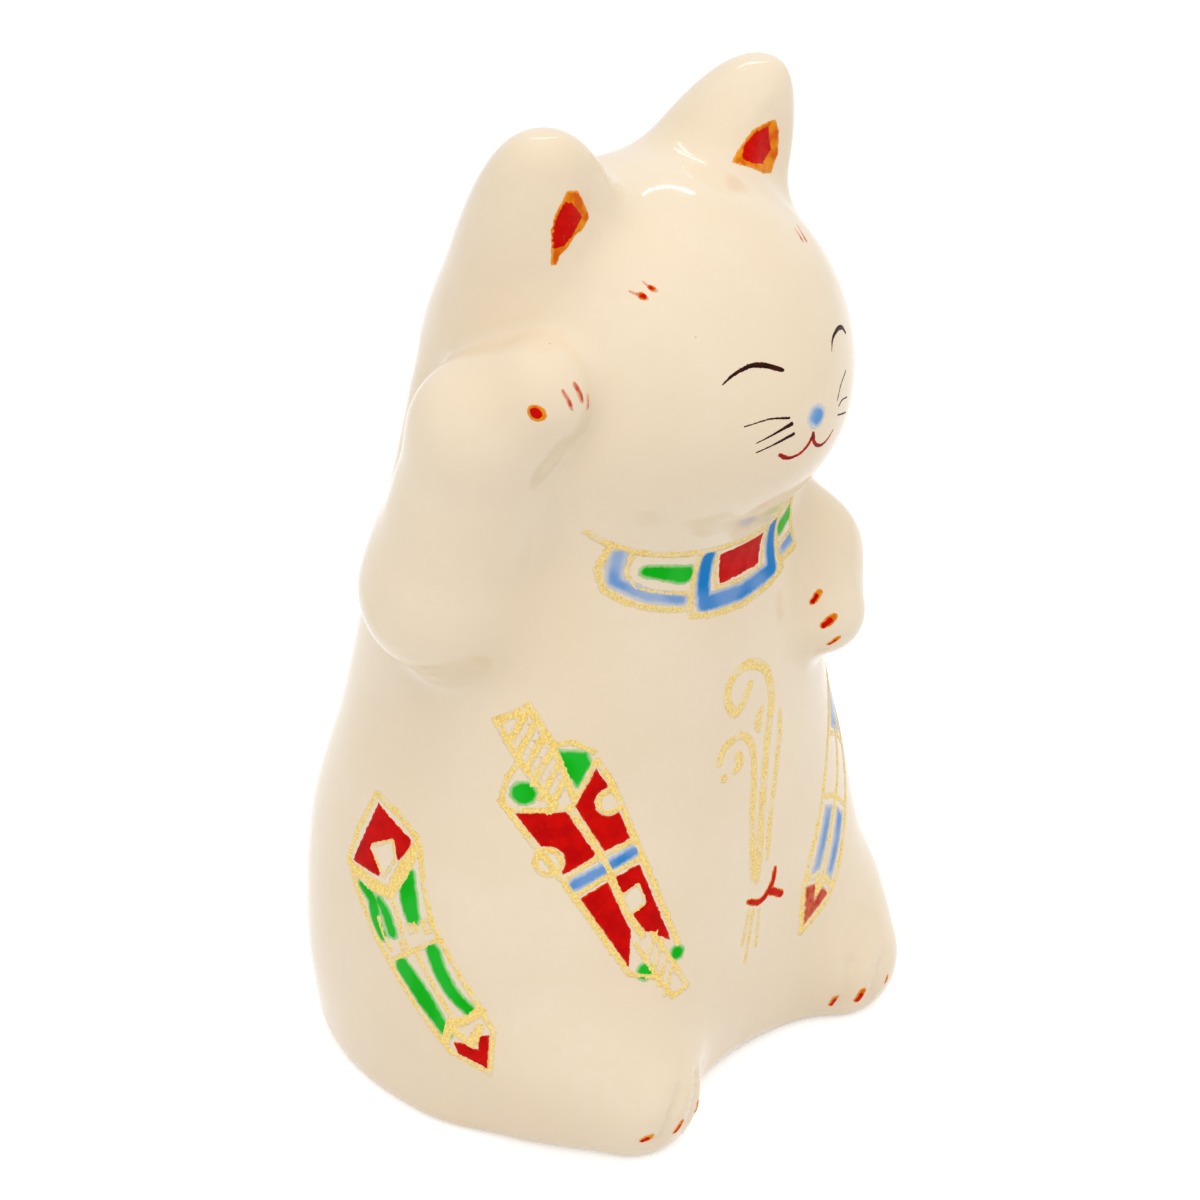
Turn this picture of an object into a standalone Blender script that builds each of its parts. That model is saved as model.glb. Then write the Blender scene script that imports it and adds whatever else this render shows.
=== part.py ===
"""Beckoning cat figurine: a slip-cast porcelain ornament, about 148 mm tall.

The figurine is built as its maker builds it before firing: a hollow body casting, a hollow
head casting, two ears, two arms and two feet luted on from outside, and a vented disc that
closes the bottom. The cat faces -Y, its right side is -X, and it stands on Z = 0.
"""

import math

import bmesh
import bpy
from mathutils import Vector

MM = 0.001

# Clay and joints
WALL = 4.0 * MM
LUTE_GAP = 0.3 * MM

# Body casting: the torso tapers from the belly to the neck
BODY_WIDTH = 86.6 * MM
BODY_FRONT_REACH = 30.5 * MM
BODY_BACK_REACH = 43.4 * MM
NECK_WIDTH = 52.0 * MM
NECK_FRONT_REACH = 22.0 * MM
NECK_BACK_REACH = 22.0 * MM
SHOULDER_HEIGHT = 99.0 * MM
NECK_DOME_HEIGHT = 5.0 * MM

# How the torso swells from neck (0) to belly (1):
# share of the shoulder height, share of width, of front reach, of back reach, squareness
TORSO_STATIONS = (
    (-0.030, 0.74, 0.30, 0.76, 2.20),
    (0.000, 0.87, 0.42, 0.88, 2.20),
    (0.013, 0.93, 0.56, 0.93, 2.20),
    (0.040, 0.97, 0.73, 0.96, 2.20),
    (0.160, 1.00, 1.00, 1.00, 2.25),
    (0.354, 0.88, 0.98, 0.91, 2.35),
    (0.535, 0.59, 0.78, 0.69, 2.35),
    (0.707, 0.42, 0.66, 0.51, 2.30),
    (0.848, 0.22, 0.42, 0.35, 2.20),
    (0.930, 0.10, 0.24, 0.21, 2.15),
    (1.000, 0.00, 0.00, 0.00, 2.10),
)

# Haunches: the folded hind legs that swell the body low at each front corner
HAUNCH_BULGE = 7.0 * MM
HAUNCH_ANGLE = math.radians(48.0)
HAUNCH_SPREAD = math.radians(20.0)
HAUNCH_HEIGHT = 7.0 * MM
HAUNCH_RISE = 20.0 * MM

# Tail: a short stub in relief, low on the back
TAIL_ROOT_HEIGHT = 13.0 * MM
TAIL_LENGTH = 20.0 * MM
TAIL_ROOT_RADIUS = 8.5 * MM
TAIL_TIP_RADIUS = 6.5 * MM
TAIL_RELIEF = 3.0 * MM
TAIL_SWING = 4.0 * MM

# Head casting
HEAD_WIDTH = 59.0 * MM
HEAD_DEPTH = 57.4 * MM
HEAD_HEIGHT = 54.6 * MM
HEAD_FORWARD = 7.5 * MM
HEAD_OVERLAP = 16.1 * MM
NECK_OPENING = 28.0 * MM
MUZZLE_BULGE = 2.8 * MM
MUZZLE_WIDTH = 38.0 * MM
MUZZLE_HEIGHT = 28.0 * MM
MUZZLE_DROP = 5.5 * MM

# Ears
EAR_SIDE_ANGLE = math.radians(23.0)
EAR_SINK = 20.5 * MM
EAR_ROOT_DROP = 9.0 * MM
EAR_SETBACK = 8.0 * MM
EAR_LENGTH = 33.0 * MM
EAR_ROOT_WIDTH = 32.0 * MM
EAR_ROOT_FRONT = 15.2 * MM
EAR_ROOT_BACK = 15.4 * MM
EAR_ROUNDNESS = 0.41
EAR_LEAN_OUT = 10.2 * MM
EAR_LEAN_FORWARD = 10.0 * MM
EAR_DISH_DEPTH = 1.2 * MM
EAR_DISH_WIDTH = 12.0 * MM
EAR_DISH_HEIGHT = 20.0 * MM
EAR_DISH_PLACE = 0.65

# Raised right arm: folded up against the head, the elbow off the flank, the paw by the cheek
RAISED_SHOULDER_RADIUS = 8.2 * MM
RAISED_SHOULDER_INSET = 9.5 * MM
RAISED_SHOULDER_SETBACK = 13.5 * MM
RAISED_SHOULDER_DROP = 6.2 * MM
ELBOW_RADIUS = 11.7 * MM
ELBOW_HEIGHT = 82.8 * MM
ELBOW_STANDOFF = 1.2 * MM
WRIST_RADIUS = 9.0 * MM
WRIST_STANDOFF = 3.3 * MM
WRIST_DROP = 1.0 * MM
WRIST_FORWARD = 0.5 * MM
PAW_RADIUS = 7.4 * MM
PAW_INSET = 0.3 * MM
PAW_RISE = 5.4 * MM
PAW_FORWARD = 8.0 * MM

# Resting left arm: folded down across the side of the chest
REST_ARM_RADIUS = 9.2 * MM
REST_SHOULDER_RADIUS = 8.6 * MM
REST_PAW_RADIUS = 6.5 * MM
REST_SHOULDER_HEIGHT = 87.0 * MM
REST_SHOULDER_ANGLE = math.radians(-29.0)
REST_SHOULDER_SINK = 10.3 * MM
REST_ELBOW_HEIGHT = 74.8 * MM
REST_ELBOW_ANGLE = math.radians(-41.0)
REST_ELBOW_SINK = 2.2 * MM
REST_PAW_HEIGHT = 69.0 * MM
REST_PAW_ANGLE = math.radians(-54.0)
REST_PAW_STANDOFF = 1.6 * MM

# Feet
FOOT_SPREAD = 25.4 * MM
TOE_SPREAD = 23.6 * MM
HEEL_RADIUS = 14.0 * MM
TOE_RADIUS = 10.2 * MM
HEEL_SETBACK = 13.5 * MM
TOE_SETBACK = 3.6 * MM
SOLE_FLAT = 2.4 * MM

# Base disc
DISC_THICKNESS = 4.0 * MM
VENT_DIAMETER = 10.0 * MM
VENT_BACK = 8.0 * MM

# Fineness of the facets, and the room that the cutting forms need
TORSO_SIDES = 48
TORSO_RING_STEP = 6.5 * MM
CAVITY_SIDES = 36
HEAD_SIDES = 44
HEAD_RINGS = 26
EAR_SIDES = 26
EAR_RINGS = 12
LIMB_SIDES = 26
DOME_STEPS = 6
DISH_SIDES = 24
DISH_RINGS = 16
HEAD_HOLLOW_RINGS = 18
VENT_SIDES = 24
ROUND = 2.0
SHARP_ANGLE = math.radians(38.0)
CUT_ROOM = 20.0 * MM


def mix(low, high, share):
    return low + (high - low) * share


def smooth_row(rows, key):
    """Read a table of stations at any key with a smooth cubic through its rows."""
    keys = [row[0] for row in rows]
    key = min(max(key, keys[0]), keys[-1])
    upper = 1
    while upper < len(keys) - 1 and keys[upper] < key:
        upper += 1
    lower = upper - 1
    span = keys[upper] - keys[lower]
    t = (key - keys[lower]) / span

    def slope(index, column):
        before = max(index - 1, 0)
        after = min(index + 1, len(rows) - 1)
        return (rows[after][column] - rows[before][column]) / (keys[after] - keys[before])

    values = []
    for column in range(1, len(rows[0])):
        start = rows[lower][column]
        end = rows[upper][column]
        values.append(
            start * (2 * t**3 - 3 * t**2 + 1)
            + slope(lower, column) * span * (t**3 - 2 * t**2 + t)
            + end * (3 * t**2 - 2 * t**3)
            + slope(upper, column) * span * (t**3 - t**2)
        )
    return values


def torso_section(height, grow=0.0):
    """Half width, front reach, back reach and squareness of the torso at a height."""
    width_share, front_share, back_share, squareness = smooth_row(
        TORSO_STATIONS, height / SHOULDER_HEIGHT
    )
    half_width = mix(NECK_WIDTH, BODY_WIDTH, width_share) / 2
    front = mix(NECK_FRONT_REACH, BODY_FRONT_REACH, front_share)
    back = mix(NECK_BACK_REACH, BODY_BACK_REACH, back_share)
    return half_width + grow, front + grow, back + grow, squareness


def oval_point(section, angle):
    """A point of a superellipse whose front (-Y) and back reaches differ."""
    half_width, front, back, squareness = section
    power = 2.0 / squareness
    cosine = math.cos(angle)
    sine = math.sin(angle)
    depth = back if sine > 0 else front
    x = math.copysign(abs(cosine) ** power, cosine) * half_width
    y = math.copysign(abs(sine) ** power, sine) * depth
    return x, y


def oval_ring(section, height, sides, centre=(0.0, 0.0)):
    ring = []
    for index in range(sides):
        x, y = oval_point(section, 2 * math.pi * index / sides)
        ring.append(Vector((centre[0] + x, centre[1] + y, height)))
    return ring


def haunch_swell(angle, height):
    """How far the haunches push the torso out at a plan angle and a height."""
    off_side = math.atan2(math.sin(angle), abs(math.cos(angle))) + HAUNCH_ANGLE
    across = off_side / HAUNCH_SPREAD
    up = (height - HAUNCH_HEIGHT) / HAUNCH_RISE
    return HAUNCH_BULGE * math.exp(-across * across - up * up)


def on_torso(height, angle, standoff):
    """A point at a plan angle (0 = the cat's left, -90 = front) off the torso's surface."""
    half_width, front, back, squareness = torso_section(height)
    depth = back if angle > 0 else front
    reach = (
        (abs(math.cos(angle)) / half_width) ** squareness
        + (abs(math.sin(angle)) / depth) ** squareness
    ) ** (-1.0 / squareness)
    reach += standoff
    return Vector((math.cos(angle) * reach, math.sin(angle) * reach, height))


def loft_mesh(name, rings):
    """Skin a stack of rings and close both ends with a fan."""
    bm = bmesh.new()
    loops = [[bm.verts.new(point) for point in ring] for ring in rings]
    sides = len(rings[0])
    for lower, upper in zip(loops, loops[1:]):
        for index in range(sides):
            following = (index + 1) % sides
            bm.faces.new((lower[index], lower[following], upper[following], upper[index]))
    for loop in (loops[0], loops[-1]):
        centre = sum((vert.co for vert in loop), Vector()) / sides
        hub = bm.verts.new(centre)
        for index in range(sides):
            bm.faces.new((loop[index], loop[(index + 1) % sides], hub))
    return finish_mesh(name, bm)


def finish_mesh(name, bm):
    bmesh.ops.recalc_face_normals(bm, faces=bm.faces)
    mesh = bpy.data.meshes.new(name)
    bm.to_mesh(mesh)
    bm.free()
    return mesh


def make_material(name, colour, roughness, coat):
    material = bpy.data.materials.new(name)
    material.use_nodes = True
    shader = material.node_tree.nodes["Principled BSDF"]
    shader.inputs["Base Color"].default_value = (*colour, 1.0)
    shader.inputs["Roughness"].default_value = roughness
    shader.inputs["Metallic"].default_value = 0.0
    shader.inputs["Coat Weight"].default_value = coat
    return material


def place(name, mesh, location=(0.0, 0.0, 0.0)):
    piece = bpy.data.objects.new(name, mesh)
    piece.location = location
    bpy.context.scene.collection.objects.link(piece)
    return piece


def make_cutter(name, mesh, location=(0.0, 0.0, 0.0)):
    cutter = place(name, mesh, location)
    cutter.hide_render = True
    cutter.display_type = "WIRE"
    return cutter


def combine(piece, other, operation):
    step = piece.modifiers.new(other.name, "BOOLEAN")
    step.operation = operation
    step.solver = "EXACT"
    step.object = other


def finish_piece(piece, material, holder):
    """Give a piece its clay, soft shading and its place under the figurine."""
    piece.data.materials.append(material)
    piece.data.shade_smooth()
    piece.data.set_sharp_from_angle(angle=SHARP_ANGLE)
    piece.parent = holder


def torso_ring(height, grow):
    """The torso's outline at a height, with the haunches swelling its front corners."""
    ring = oval_ring(torso_section(height, grow), height, TORSO_SIDES)
    for point in ring:
        angle = math.atan2(point.y, point.x)
        swell = haunch_swell(angle, height)
        point.x += swell * math.cos(angle)
        point.y += swell * math.sin(angle)
    return ring


def torso_heights():
    """Every station's height, with even steps between stations that lie far apart."""
    heights = [TORSO_STATIONS[0][0] * SHOULDER_HEIGHT]
    for station in TORSO_STATIONS[1:]:
        low = heights[-1]
        high = station[0] * SHOULDER_HEIGHT
        steps = math.ceil((high - low) / TORSO_RING_STEP)
        heights += [mix(low, high, (step + 1) / steps) for step in range(steps)]
    return heights


def torso_mesh(name, grow):
    """The torso from below the floor to a low dome inside the head."""
    rings = []
    for height in torso_heights():
        rings.append(torso_ring(height, grow))
    half_width, front, back, squareness = torso_section(SHOULDER_HEIGHT, grow)
    for step in range(1, DOME_STEPS):
        angle = step / DOME_STEPS * math.pi / 2
        shrink = math.cos(angle)
        section = (half_width * shrink, front * shrink, back * shrink, squareness)
        height = SHOULDER_HEIGHT + (NECK_DOME_HEIGHT + grow) * math.sin(angle)
        rings.append(oval_ring(section, height, TORSO_SIDES))
    return loft_mesh(name, rings)


def ellipsoid_mesh(name, radii):
    bm = bmesh.new()
    bmesh.ops.create_uvsphere(bm, u_segments=DISH_SIDES, v_segments=DISH_RINGS, radius=1.0)
    bmesh.ops.scale(bm, vec=radii, verts=bm.verts)
    return finish_mesh(name, bm)


def head_mesh(name, grow, sides, rings):
    """An egg of a head whose front swells softly into the muzzle."""
    bm = bmesh.new()
    bmesh.ops.create_uvsphere(bm, u_segments=sides, v_segments=rings, radius=1.0)
    for vert in bm.verts:
        front = max(0.0, -vert.co.y)
        vert.co.x *= HEAD_WIDTH / 2 + grow
        vert.co.y *= HEAD_DEPTH / 2 + grow
        vert.co.z *= HEAD_HEIGHT / 2 + grow
        side = vert.co.x / (MUZZLE_WIDTH / 2)
        rise = (vert.co.z + MUZZLE_DROP) / (MUZZLE_HEIGHT / 2)
        vert.co.y -= MUZZLE_BULGE * front * math.exp(-side * side - rise * rise)
    return finish_mesh(name, bm)


def head_centre():
    height = SHOULDER_HEIGHT - HEAD_OVERLAP + HEAD_HEIGHT / 2
    return Vector((0.0, -HEAD_FORWARD, height))


def capsule_mesh(name, start, start_radius, end, end_radius, grow=0.0):
    """A tapered limb with round ends, from the start ball to the end ball."""
    start_radius += grow
    end_radius += grow
    axis = (end - start).normalized()
    length = (end - start).length
    tilt = math.asin((start_radius - end_radius) / length)
    turn = axis.to_track_quat("Z", "Y")
    rings = []
    lowest = -math.pi / 2
    for centre, radius, first, last in (
        (start, start_radius, lowest, tilt),
        (end, end_radius, tilt, math.pi / 2),
    ):
        for step in range(DOME_STEPS + 1):
            angle = mix(first, last, step / DOME_STEPS)
            if abs(abs(angle) - math.pi / 2) < 1e-6:
                continue
            rings.append(
                [
                    centre
                    + axis * radius * math.sin(angle)
                    + turn
                    @ Vector((math.cos(side), math.sin(side), 0.0))
                    * (radius * math.cos(angle))
                    for side in (2 * math.pi * i / LIMB_SIDES for i in range(LIMB_SIDES))
                ]
            )
    return loft_mesh(name, rings)


def tail_cutter():
    root = on_torso(TAIL_ROOT_HEIGHT, math.pi / 2, TAIL_RELIEF - TAIL_ROOT_RADIUS)
    tip_height = TAIL_ROOT_HEIGHT + TAIL_LENGTH
    tip = on_torso(tip_height, math.pi / 2, TAIL_RELIEF - TAIL_TIP_RADIUS)
    tip.x += TAIL_SWING
    mesh = capsule_mesh("tail_form", root, TAIL_ROOT_RADIUS, tip, TAIL_TIP_RADIUS)
    return make_cutter("tail_form", mesh)


def floor_cutter():
    """A slab whose top is the floor: it gives every piece that reaches it a flat sole."""
    bm = bmesh.new()
    bmesh.ops.create_cube(bm, size=1.0)
    width = BODY_WIDTH + 2 * CUT_ROOM
    length = BODY_FRONT_REACH + BODY_BACK_REACH + 2 * CUT_ROOM
    middle = (BODY_BACK_REACH - BODY_FRONT_REACH) / 2
    bmesh.ops.scale(bm, vec=(width, length, CUT_ROOM), verts=bm.verts)
    bmesh.ops.translate(bm, vec=(0.0, middle, -CUT_ROOM / 2), verts=bm.verts)
    return make_cutter("floor_slab", finish_mesh("floor_slab", bm))


def neck_cutter():
    """The round way from the head's hollow down into the body's."""
    bm = bmesh.new()
    length = HEAD_HEIGHT / 2 + WALL
    bmesh.ops.create_cone(
        bm,
        cap_ends=True,
        segments=CAVITY_SIDES,
        radius1=NECK_OPENING / 2,
        radius2=NECK_OPENING / 2,
        depth=length,
    )
    centre = head_centre()
    centre.z -= length / 2
    return make_cutter("neck_opening", finish_mesh("neck_opening", bm), centre)


def ear_section(share):
    """Half width, front reach, back reach and squareness from the root (0) to the tip (1)."""
    taper = (1.0 - share) ** EAR_ROUNDNESS
    return EAR_ROOT_WIDTH / 2 * taper, EAR_ROOT_FRONT * taper, EAR_ROOT_BACK * taper, ROUND


def ear_mesh(name, side):
    """A leaning horn of ovals, round below the root and at the tip."""
    rings = []
    for step in range(1, DOME_STEPS + 1):
        angle = step / DOME_STEPS * math.pi / 2
        shrink = math.sin(angle)
        section = (
            EAR_ROOT_WIDTH / 2 * shrink, EAR_ROOT_FRONT * shrink, EAR_ROOT_BACK * shrink, ROUND
        )
        rings.append(oval_ring(section, -EAR_ROOT_DROP * math.cos(angle), EAR_SIDES))
    for index in range(1, EAR_RINGS):
        below_tip = 1.0 - index / EAR_RINGS
        share = 1.0 - below_tip**2
        centre = (side * EAR_LEAN_OUT * share, -EAR_LEAN_FORWARD * share)
        rings.append(oval_ring(ear_section(share), EAR_LENGTH * share, EAR_SIDES, centre))
    return loft_mesh(name, rings)


def ear_root(side):
    """The ear's root lies inside the head, under the crown."""
    reach = Vector(
        (
            side * math.sin(EAR_SIDE_ANGLE) * HEAD_WIDTH / 2,
            EAR_SETBACK,
            math.cos(EAR_SIDE_ANGLE) * HEAD_HEIGHT / 2 - EAR_SINK,
        )
    )
    return head_centre() + reach


def ear_dish_cutter(side):
    """A shallow oval dish in the front of the ear."""
    radii = Vector((EAR_DISH_WIDTH / 2, EAR_DISH_WIDTH / 2, EAR_DISH_HEIGHT / 2))
    front = EAR_LEAN_FORWARD * EAR_DISH_PLACE + ear_section(EAR_DISH_PLACE)[1]
    centre = ear_root(side) + Vector(
        (
            side * EAR_LEAN_OUT * EAR_DISH_PLACE,
            EAR_DISH_DEPTH - front - radii.y,
            EAR_LENGTH * EAR_DISH_PLACE,
        )
    )
    name = f"ear_dish_{side:+d}"
    return make_cutter(name, ellipsoid_mesh(name, radii), centre)


def raised_arm_points():
    """Shoulder, elbow, wrist and paw centres of the raised right arm."""
    head = head_centre()
    shoulder = head + Vector(
        (
            -HEAD_WIDTH / 2 + RAISED_SHOULDER_INSET,
            RAISED_SHOULDER_SETBACK,
            -RAISED_SHOULDER_DROP,
        )
    )
    elbow = on_torso(ELBOW_HEIGHT, math.pi, ELBOW_STANDOFF)
    wrist = head + Vector((-HEAD_WIDTH / 2 - WRIST_STANDOFF, -WRIST_FORWARD, -WRIST_DROP))
    paw = head + Vector((-HEAD_WIDTH / 2 + PAW_INSET, -PAW_FORWARD, PAW_RISE))
    return shoulder, elbow, wrist, paw


def resting_arm_points():
    """Shoulder, elbow and paw centres of the resting left arm."""
    shoulder = on_torso(REST_SHOULDER_HEIGHT, REST_SHOULDER_ANGLE, -REST_SHOULDER_SINK)
    elbow = on_torso(REST_ELBOW_HEIGHT, REST_ELBOW_ANGLE, -REST_ELBOW_SINK)
    paw = on_torso(REST_PAW_HEIGHT, REST_PAW_ANGLE, REST_PAW_STANDOFF)
    return shoulder, elbow, paw


def foot_mesh(name, side):
    heel = Vector(
        (side * FOOT_SPREAD, -(BODY_FRONT_REACH - HEEL_SETBACK), HEEL_RADIUS - SOLE_FLAT)
    )
    toe = Vector((side * TOE_SPREAD, -(BODY_FRONT_REACH - TOE_SETBACK), TOE_RADIUS - SOLE_FLAT))
    return capsule_mesh(name, heel, HEEL_RADIUS, toe, TOE_RADIUS)


def base_disc_mesh(name):
    """A disc that follows the cavity's flaring wall, a lute gap inside it."""
    inside = -(WALL + LUTE_GAP)
    heights = [height for height in torso_heights() if -1e-9 < height < DISC_THICKNESS]
    heights.append(DISC_THICKNESS)
    return loft_mesh(name, [torso_ring(height, inside) for height in heights])


def vent_cutter():
    bm = bmesh.new()
    bmesh.ops.create_cone(
        bm,
        cap_ends=True,
        segments=VENT_SIDES,
        radius1=VENT_DIAMETER / 2,
        radius2=VENT_DIAMETER / 2,
        depth=2 * (DISC_THICKNESS + CUT_ROOM),
    )
    return make_cutter("vent", finish_mesh("vent", bm), (0.0, VENT_BACK, 0.0))


def clear_scene():
    for item in list(bpy.data.objects):
        bpy.data.objects.remove(item, do_unlink=True)


def build():
    clear_scene()
    glazed = make_material("glazed_porcelain", (0.86, 0.76, 0.61), 0.12, 1.0)
    bare = make_material("bare_porcelain", (0.80, 0.74, 0.65), 0.65, 0.0)
    figurine = bpy.data.objects.new("beckoning_cat", None)
    bpy.context.scene.collection.objects.link(figurine)

    floor = floor_cutter()
    torso_clearance = make_cutter("torso_clearance", torso_mesh("torso_clearance", LUTE_GAP))
    head_clearance = make_cutter(
        "head_clearance",
        head_mesh("head_clearance", LUTE_GAP, HEAD_SIDES, HEAD_RINGS),
        head_centre(),
    )

    body = place("body_casting", torso_mesh("body_casting", 0.0))
    combine(body, tail_cutter(), "UNION")
    combine(body, make_cutter("body_hollow", torso_mesh("body_hollow", -WALL)), "DIFFERENCE")
    combine(body, head_clearance, "DIFFERENCE")
    combine(body, floor, "DIFFERENCE")
    finish_piece(body, glazed, figurine)

    head = place(
        "head_casting", head_mesh("head_casting", 0.0, HEAD_SIDES, HEAD_RINGS), head_centre()
    )
    hollow = make_cutter(
        "head_hollow", head_mesh("head_hollow", -WALL, CAVITY_SIDES, HEAD_HOLLOW_RINGS), head_centre()
    )
    combine(head, hollow, "DIFFERENCE")
    combine(head, neck_cutter(), "DIFFERENCE")
    finish_piece(head, glazed, figurine)

    shoulder, elbow, wrist, paw = raised_arm_points()
    arm_limbs = (
        ("upper_arm", shoulder, RAISED_SHOULDER_RADIUS, elbow, ELBOW_RADIUS),
        ("forearm", elbow, ELBOW_RADIUS, wrist, WRIST_RADIUS),
        ("paw", wrist, WRIST_RADIUS, paw, PAW_RADIUS),
    )
    first, *others = arm_limbs
    arm = place("raised_right_arm", capsule_mesh("raised_right_arm", *first[1:]))
    for name, *limb in others:
        combine(arm, make_cutter(f"{name}_form", capsule_mesh(f"{name}_form", *limb)), "UNION")
    combine(arm, torso_clearance, "DIFFERENCE")
    combine(arm, head_clearance, "DIFFERENCE")
    finish_piece(arm, glazed, figurine)

    shoulder, elbow, paw = resting_arm_points()
    upper = capsule_mesh(
        "resting_left_arm", shoulder, REST_SHOULDER_RADIUS, elbow, REST_ARM_RADIUS
    )
    lower = capsule_mesh("resting_paw_form", elbow, REST_ARM_RADIUS, paw, REST_PAW_RADIUS)
    rest_arm = place("resting_left_arm", upper)
    combine(rest_arm, make_cutter("resting_paw_form", lower), "UNION")
    combine(rest_arm, torso_clearance, "DIFFERENCE")
    combine(rest_arm, head_clearance, "DIFFERENCE")
    finish_piece(rest_arm, glazed, figurine)

    arm_clearances = []
    for name, *limb in arm_limbs:
        mesh = capsule_mesh(f"{name}_clearance", *limb, LUTE_GAP)
        arm_clearances.append(make_cutter(f"{name}_clearance", mesh))
    for name, side in (("right_ear", -1), ("left_ear", 1)):
        ear = place(name, ear_mesh(name, side), ear_root(side))
        combine(ear, ear_dish_cutter(side), "DIFFERENCE")
        combine(ear, head_clearance, "DIFFERENCE")
        if side < 0:
            for clearance in arm_clearances:
                combine(ear, clearance, "DIFFERENCE")
        finish_piece(ear, glazed, figurine)

    for name, side in (("right_foot", -1), ("left_foot", 1)):
        foot = place(name, foot_mesh(name, side))
        combine(foot, torso_clearance, "DIFFERENCE")
        combine(foot, floor, "DIFFERENCE")
        finish_piece(foot, glazed, figurine)

    disc = place("base_disc", base_disc_mesh("base_disc"))
    combine(disc, vent_cutter(), "DIFFERENCE")
    finish_piece(disc, bare, figurine)


build()
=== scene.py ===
import functools
import math

import bpy
import numpy as np
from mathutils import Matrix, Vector
from mathutils.bvhtree import BVHTree


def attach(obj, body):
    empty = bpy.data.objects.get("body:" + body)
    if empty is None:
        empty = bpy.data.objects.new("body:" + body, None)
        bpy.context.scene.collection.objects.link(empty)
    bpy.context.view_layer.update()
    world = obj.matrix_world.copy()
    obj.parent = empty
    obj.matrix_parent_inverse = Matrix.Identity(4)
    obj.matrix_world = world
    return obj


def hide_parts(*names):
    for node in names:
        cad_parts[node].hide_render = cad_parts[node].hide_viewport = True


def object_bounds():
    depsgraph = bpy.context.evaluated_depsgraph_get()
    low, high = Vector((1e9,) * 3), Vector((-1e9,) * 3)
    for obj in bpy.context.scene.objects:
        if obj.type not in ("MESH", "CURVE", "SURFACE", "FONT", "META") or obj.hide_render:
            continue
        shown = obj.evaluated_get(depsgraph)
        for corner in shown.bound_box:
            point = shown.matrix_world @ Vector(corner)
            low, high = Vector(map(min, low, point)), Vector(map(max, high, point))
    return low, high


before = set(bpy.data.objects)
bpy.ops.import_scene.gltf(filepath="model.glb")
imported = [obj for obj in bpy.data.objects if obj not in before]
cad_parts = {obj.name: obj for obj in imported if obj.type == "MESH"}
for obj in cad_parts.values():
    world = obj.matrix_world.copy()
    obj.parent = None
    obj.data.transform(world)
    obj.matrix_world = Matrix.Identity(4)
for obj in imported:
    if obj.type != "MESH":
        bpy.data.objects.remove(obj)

CAD_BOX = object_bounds()
MM = 0.001
CAD_LOW, CAD_HIGH = (np.array(corner) / MM for corner in CAD_BOX)

# -------------------- the figurine's forms, in mm

WALL = 4.0
NECK = (26.0, 22.0, 22.0)  # half width, front reach and back reach at the neck
BELLY = (43.3, 30.5, 43.4)
SHOULDER_HEIGHT = 99.0
# share of the shoulder height, share of width, of front reach, of back reach, squareness
TORSO_STATIONS = np.array((
    (-0.030, 0.74, 0.30, 0.76, 2.20),
    (0.000, 0.87, 0.42, 0.88, 2.20),
    (0.013, 0.93, 0.56, 0.93, 2.20),
    (0.040, 0.97, 0.73, 0.96, 2.20),
    (0.160, 1.00, 1.00, 1.00, 2.25),
    (0.354, 0.88, 0.98, 0.91, 2.35),
    (0.535, 0.59, 0.78, 0.69, 2.35),
    (0.707, 0.42, 0.66, 0.51, 2.30),
    (0.848, 0.22, 0.42, 0.35, 2.20),
    (0.930, 0.10, 0.24, 0.21, 2.15),
    (1.000, 0.00, 0.00, 0.00, 2.10),
))
HAUNCH_BULGE = 7.0
HAUNCH_ANGLE = math.radians(48.0)
HAUNCH_SPREAD = math.radians(20.0)
HAUNCH_HEIGHT = 7.0
HAUNCH_RISE = 20.0

HEAD_CENTRE = (0.0, -7.5, 110.2)
HEAD_RADII = (29.5, 28.7, 27.3)
MUZZLE_BULGE = 2.8
MUZZLE_SIZE = (19.0, 14.0)
MUZZLE_DROP = 5.5

EAR_ROOT = (11.53, 0.5, 114.83)
EAR_LENGTH = 33.0
EAR_ROOT_REACH = (16.0, 15.2, 15.4)
EAR_ROOT_DROP = 9.0
EAR_ROUNDNESS = 0.41
EAR_LEAN = (10.2, -10.0)
EAR_DISH_RADII = (6.0, 6.0, 10.0)
EAR_DISH_DEPTH = 1.2
EAR_DISH_PLACE = 0.65
EAR_DISH_ROUND = 2.5

# Raised right arm, as (centre, radius); the elbow's centre is worked out from the torso
RAISED_SHOULDER = ((-20.0, 6.0, 104.0), 8.2)
ELBOW_HEIGHT = 82.8
ELBOW_STANDOFF = 1.2
ELBOW_RADIUS = 11.7
WRIST = ((-32.8, -8.0, 109.2), 9.0)
RAISED_PAW = ((-29.2, -15.5, 115.6), 7.4)
# Resting left arm: height, plan angle in degrees, standoff from the torso, radius
REST_SHOULDER = (87.0, -29.0, -10.3, 8.6)
REST_ELBOW = (74.8, -41.0, -2.2, 9.2)
REST_PAW = (69.0, -54.0, 1.6, 6.5)
# Left foot
HEEL = ((25.4, -17.0, 11.6), 14.0)
TOES = ((23.6, -26.9, 7.8), 10.2)
# Tail: height, standoff, radius
TAIL_ROOT = (13.0, -5.5, 8.5)
TAIL_TIP = (33.0, -3.5, 6.5)
TAIL_SWING = 4.0

# How softly each form flows into what carries it, and each length of a limb into the next
HEAD_BLEND = 8.0
TAIL_BLEND = 3.0
FOOT_BLEND = 5.0
EAR_BLEND = 5.0
ARM_BLEND = 6.0
PAW_BLEND = 2.8
REST_ARM_BLEND = 4.5
LIMB_BLEND = 3.0
SHOULDER_ROUND = 6.0

GRID_STEP = 0.9
GRID_MARGIN = 2.3  # steps


def mix(low, high, share):
    return low + (high - low) * share


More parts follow.
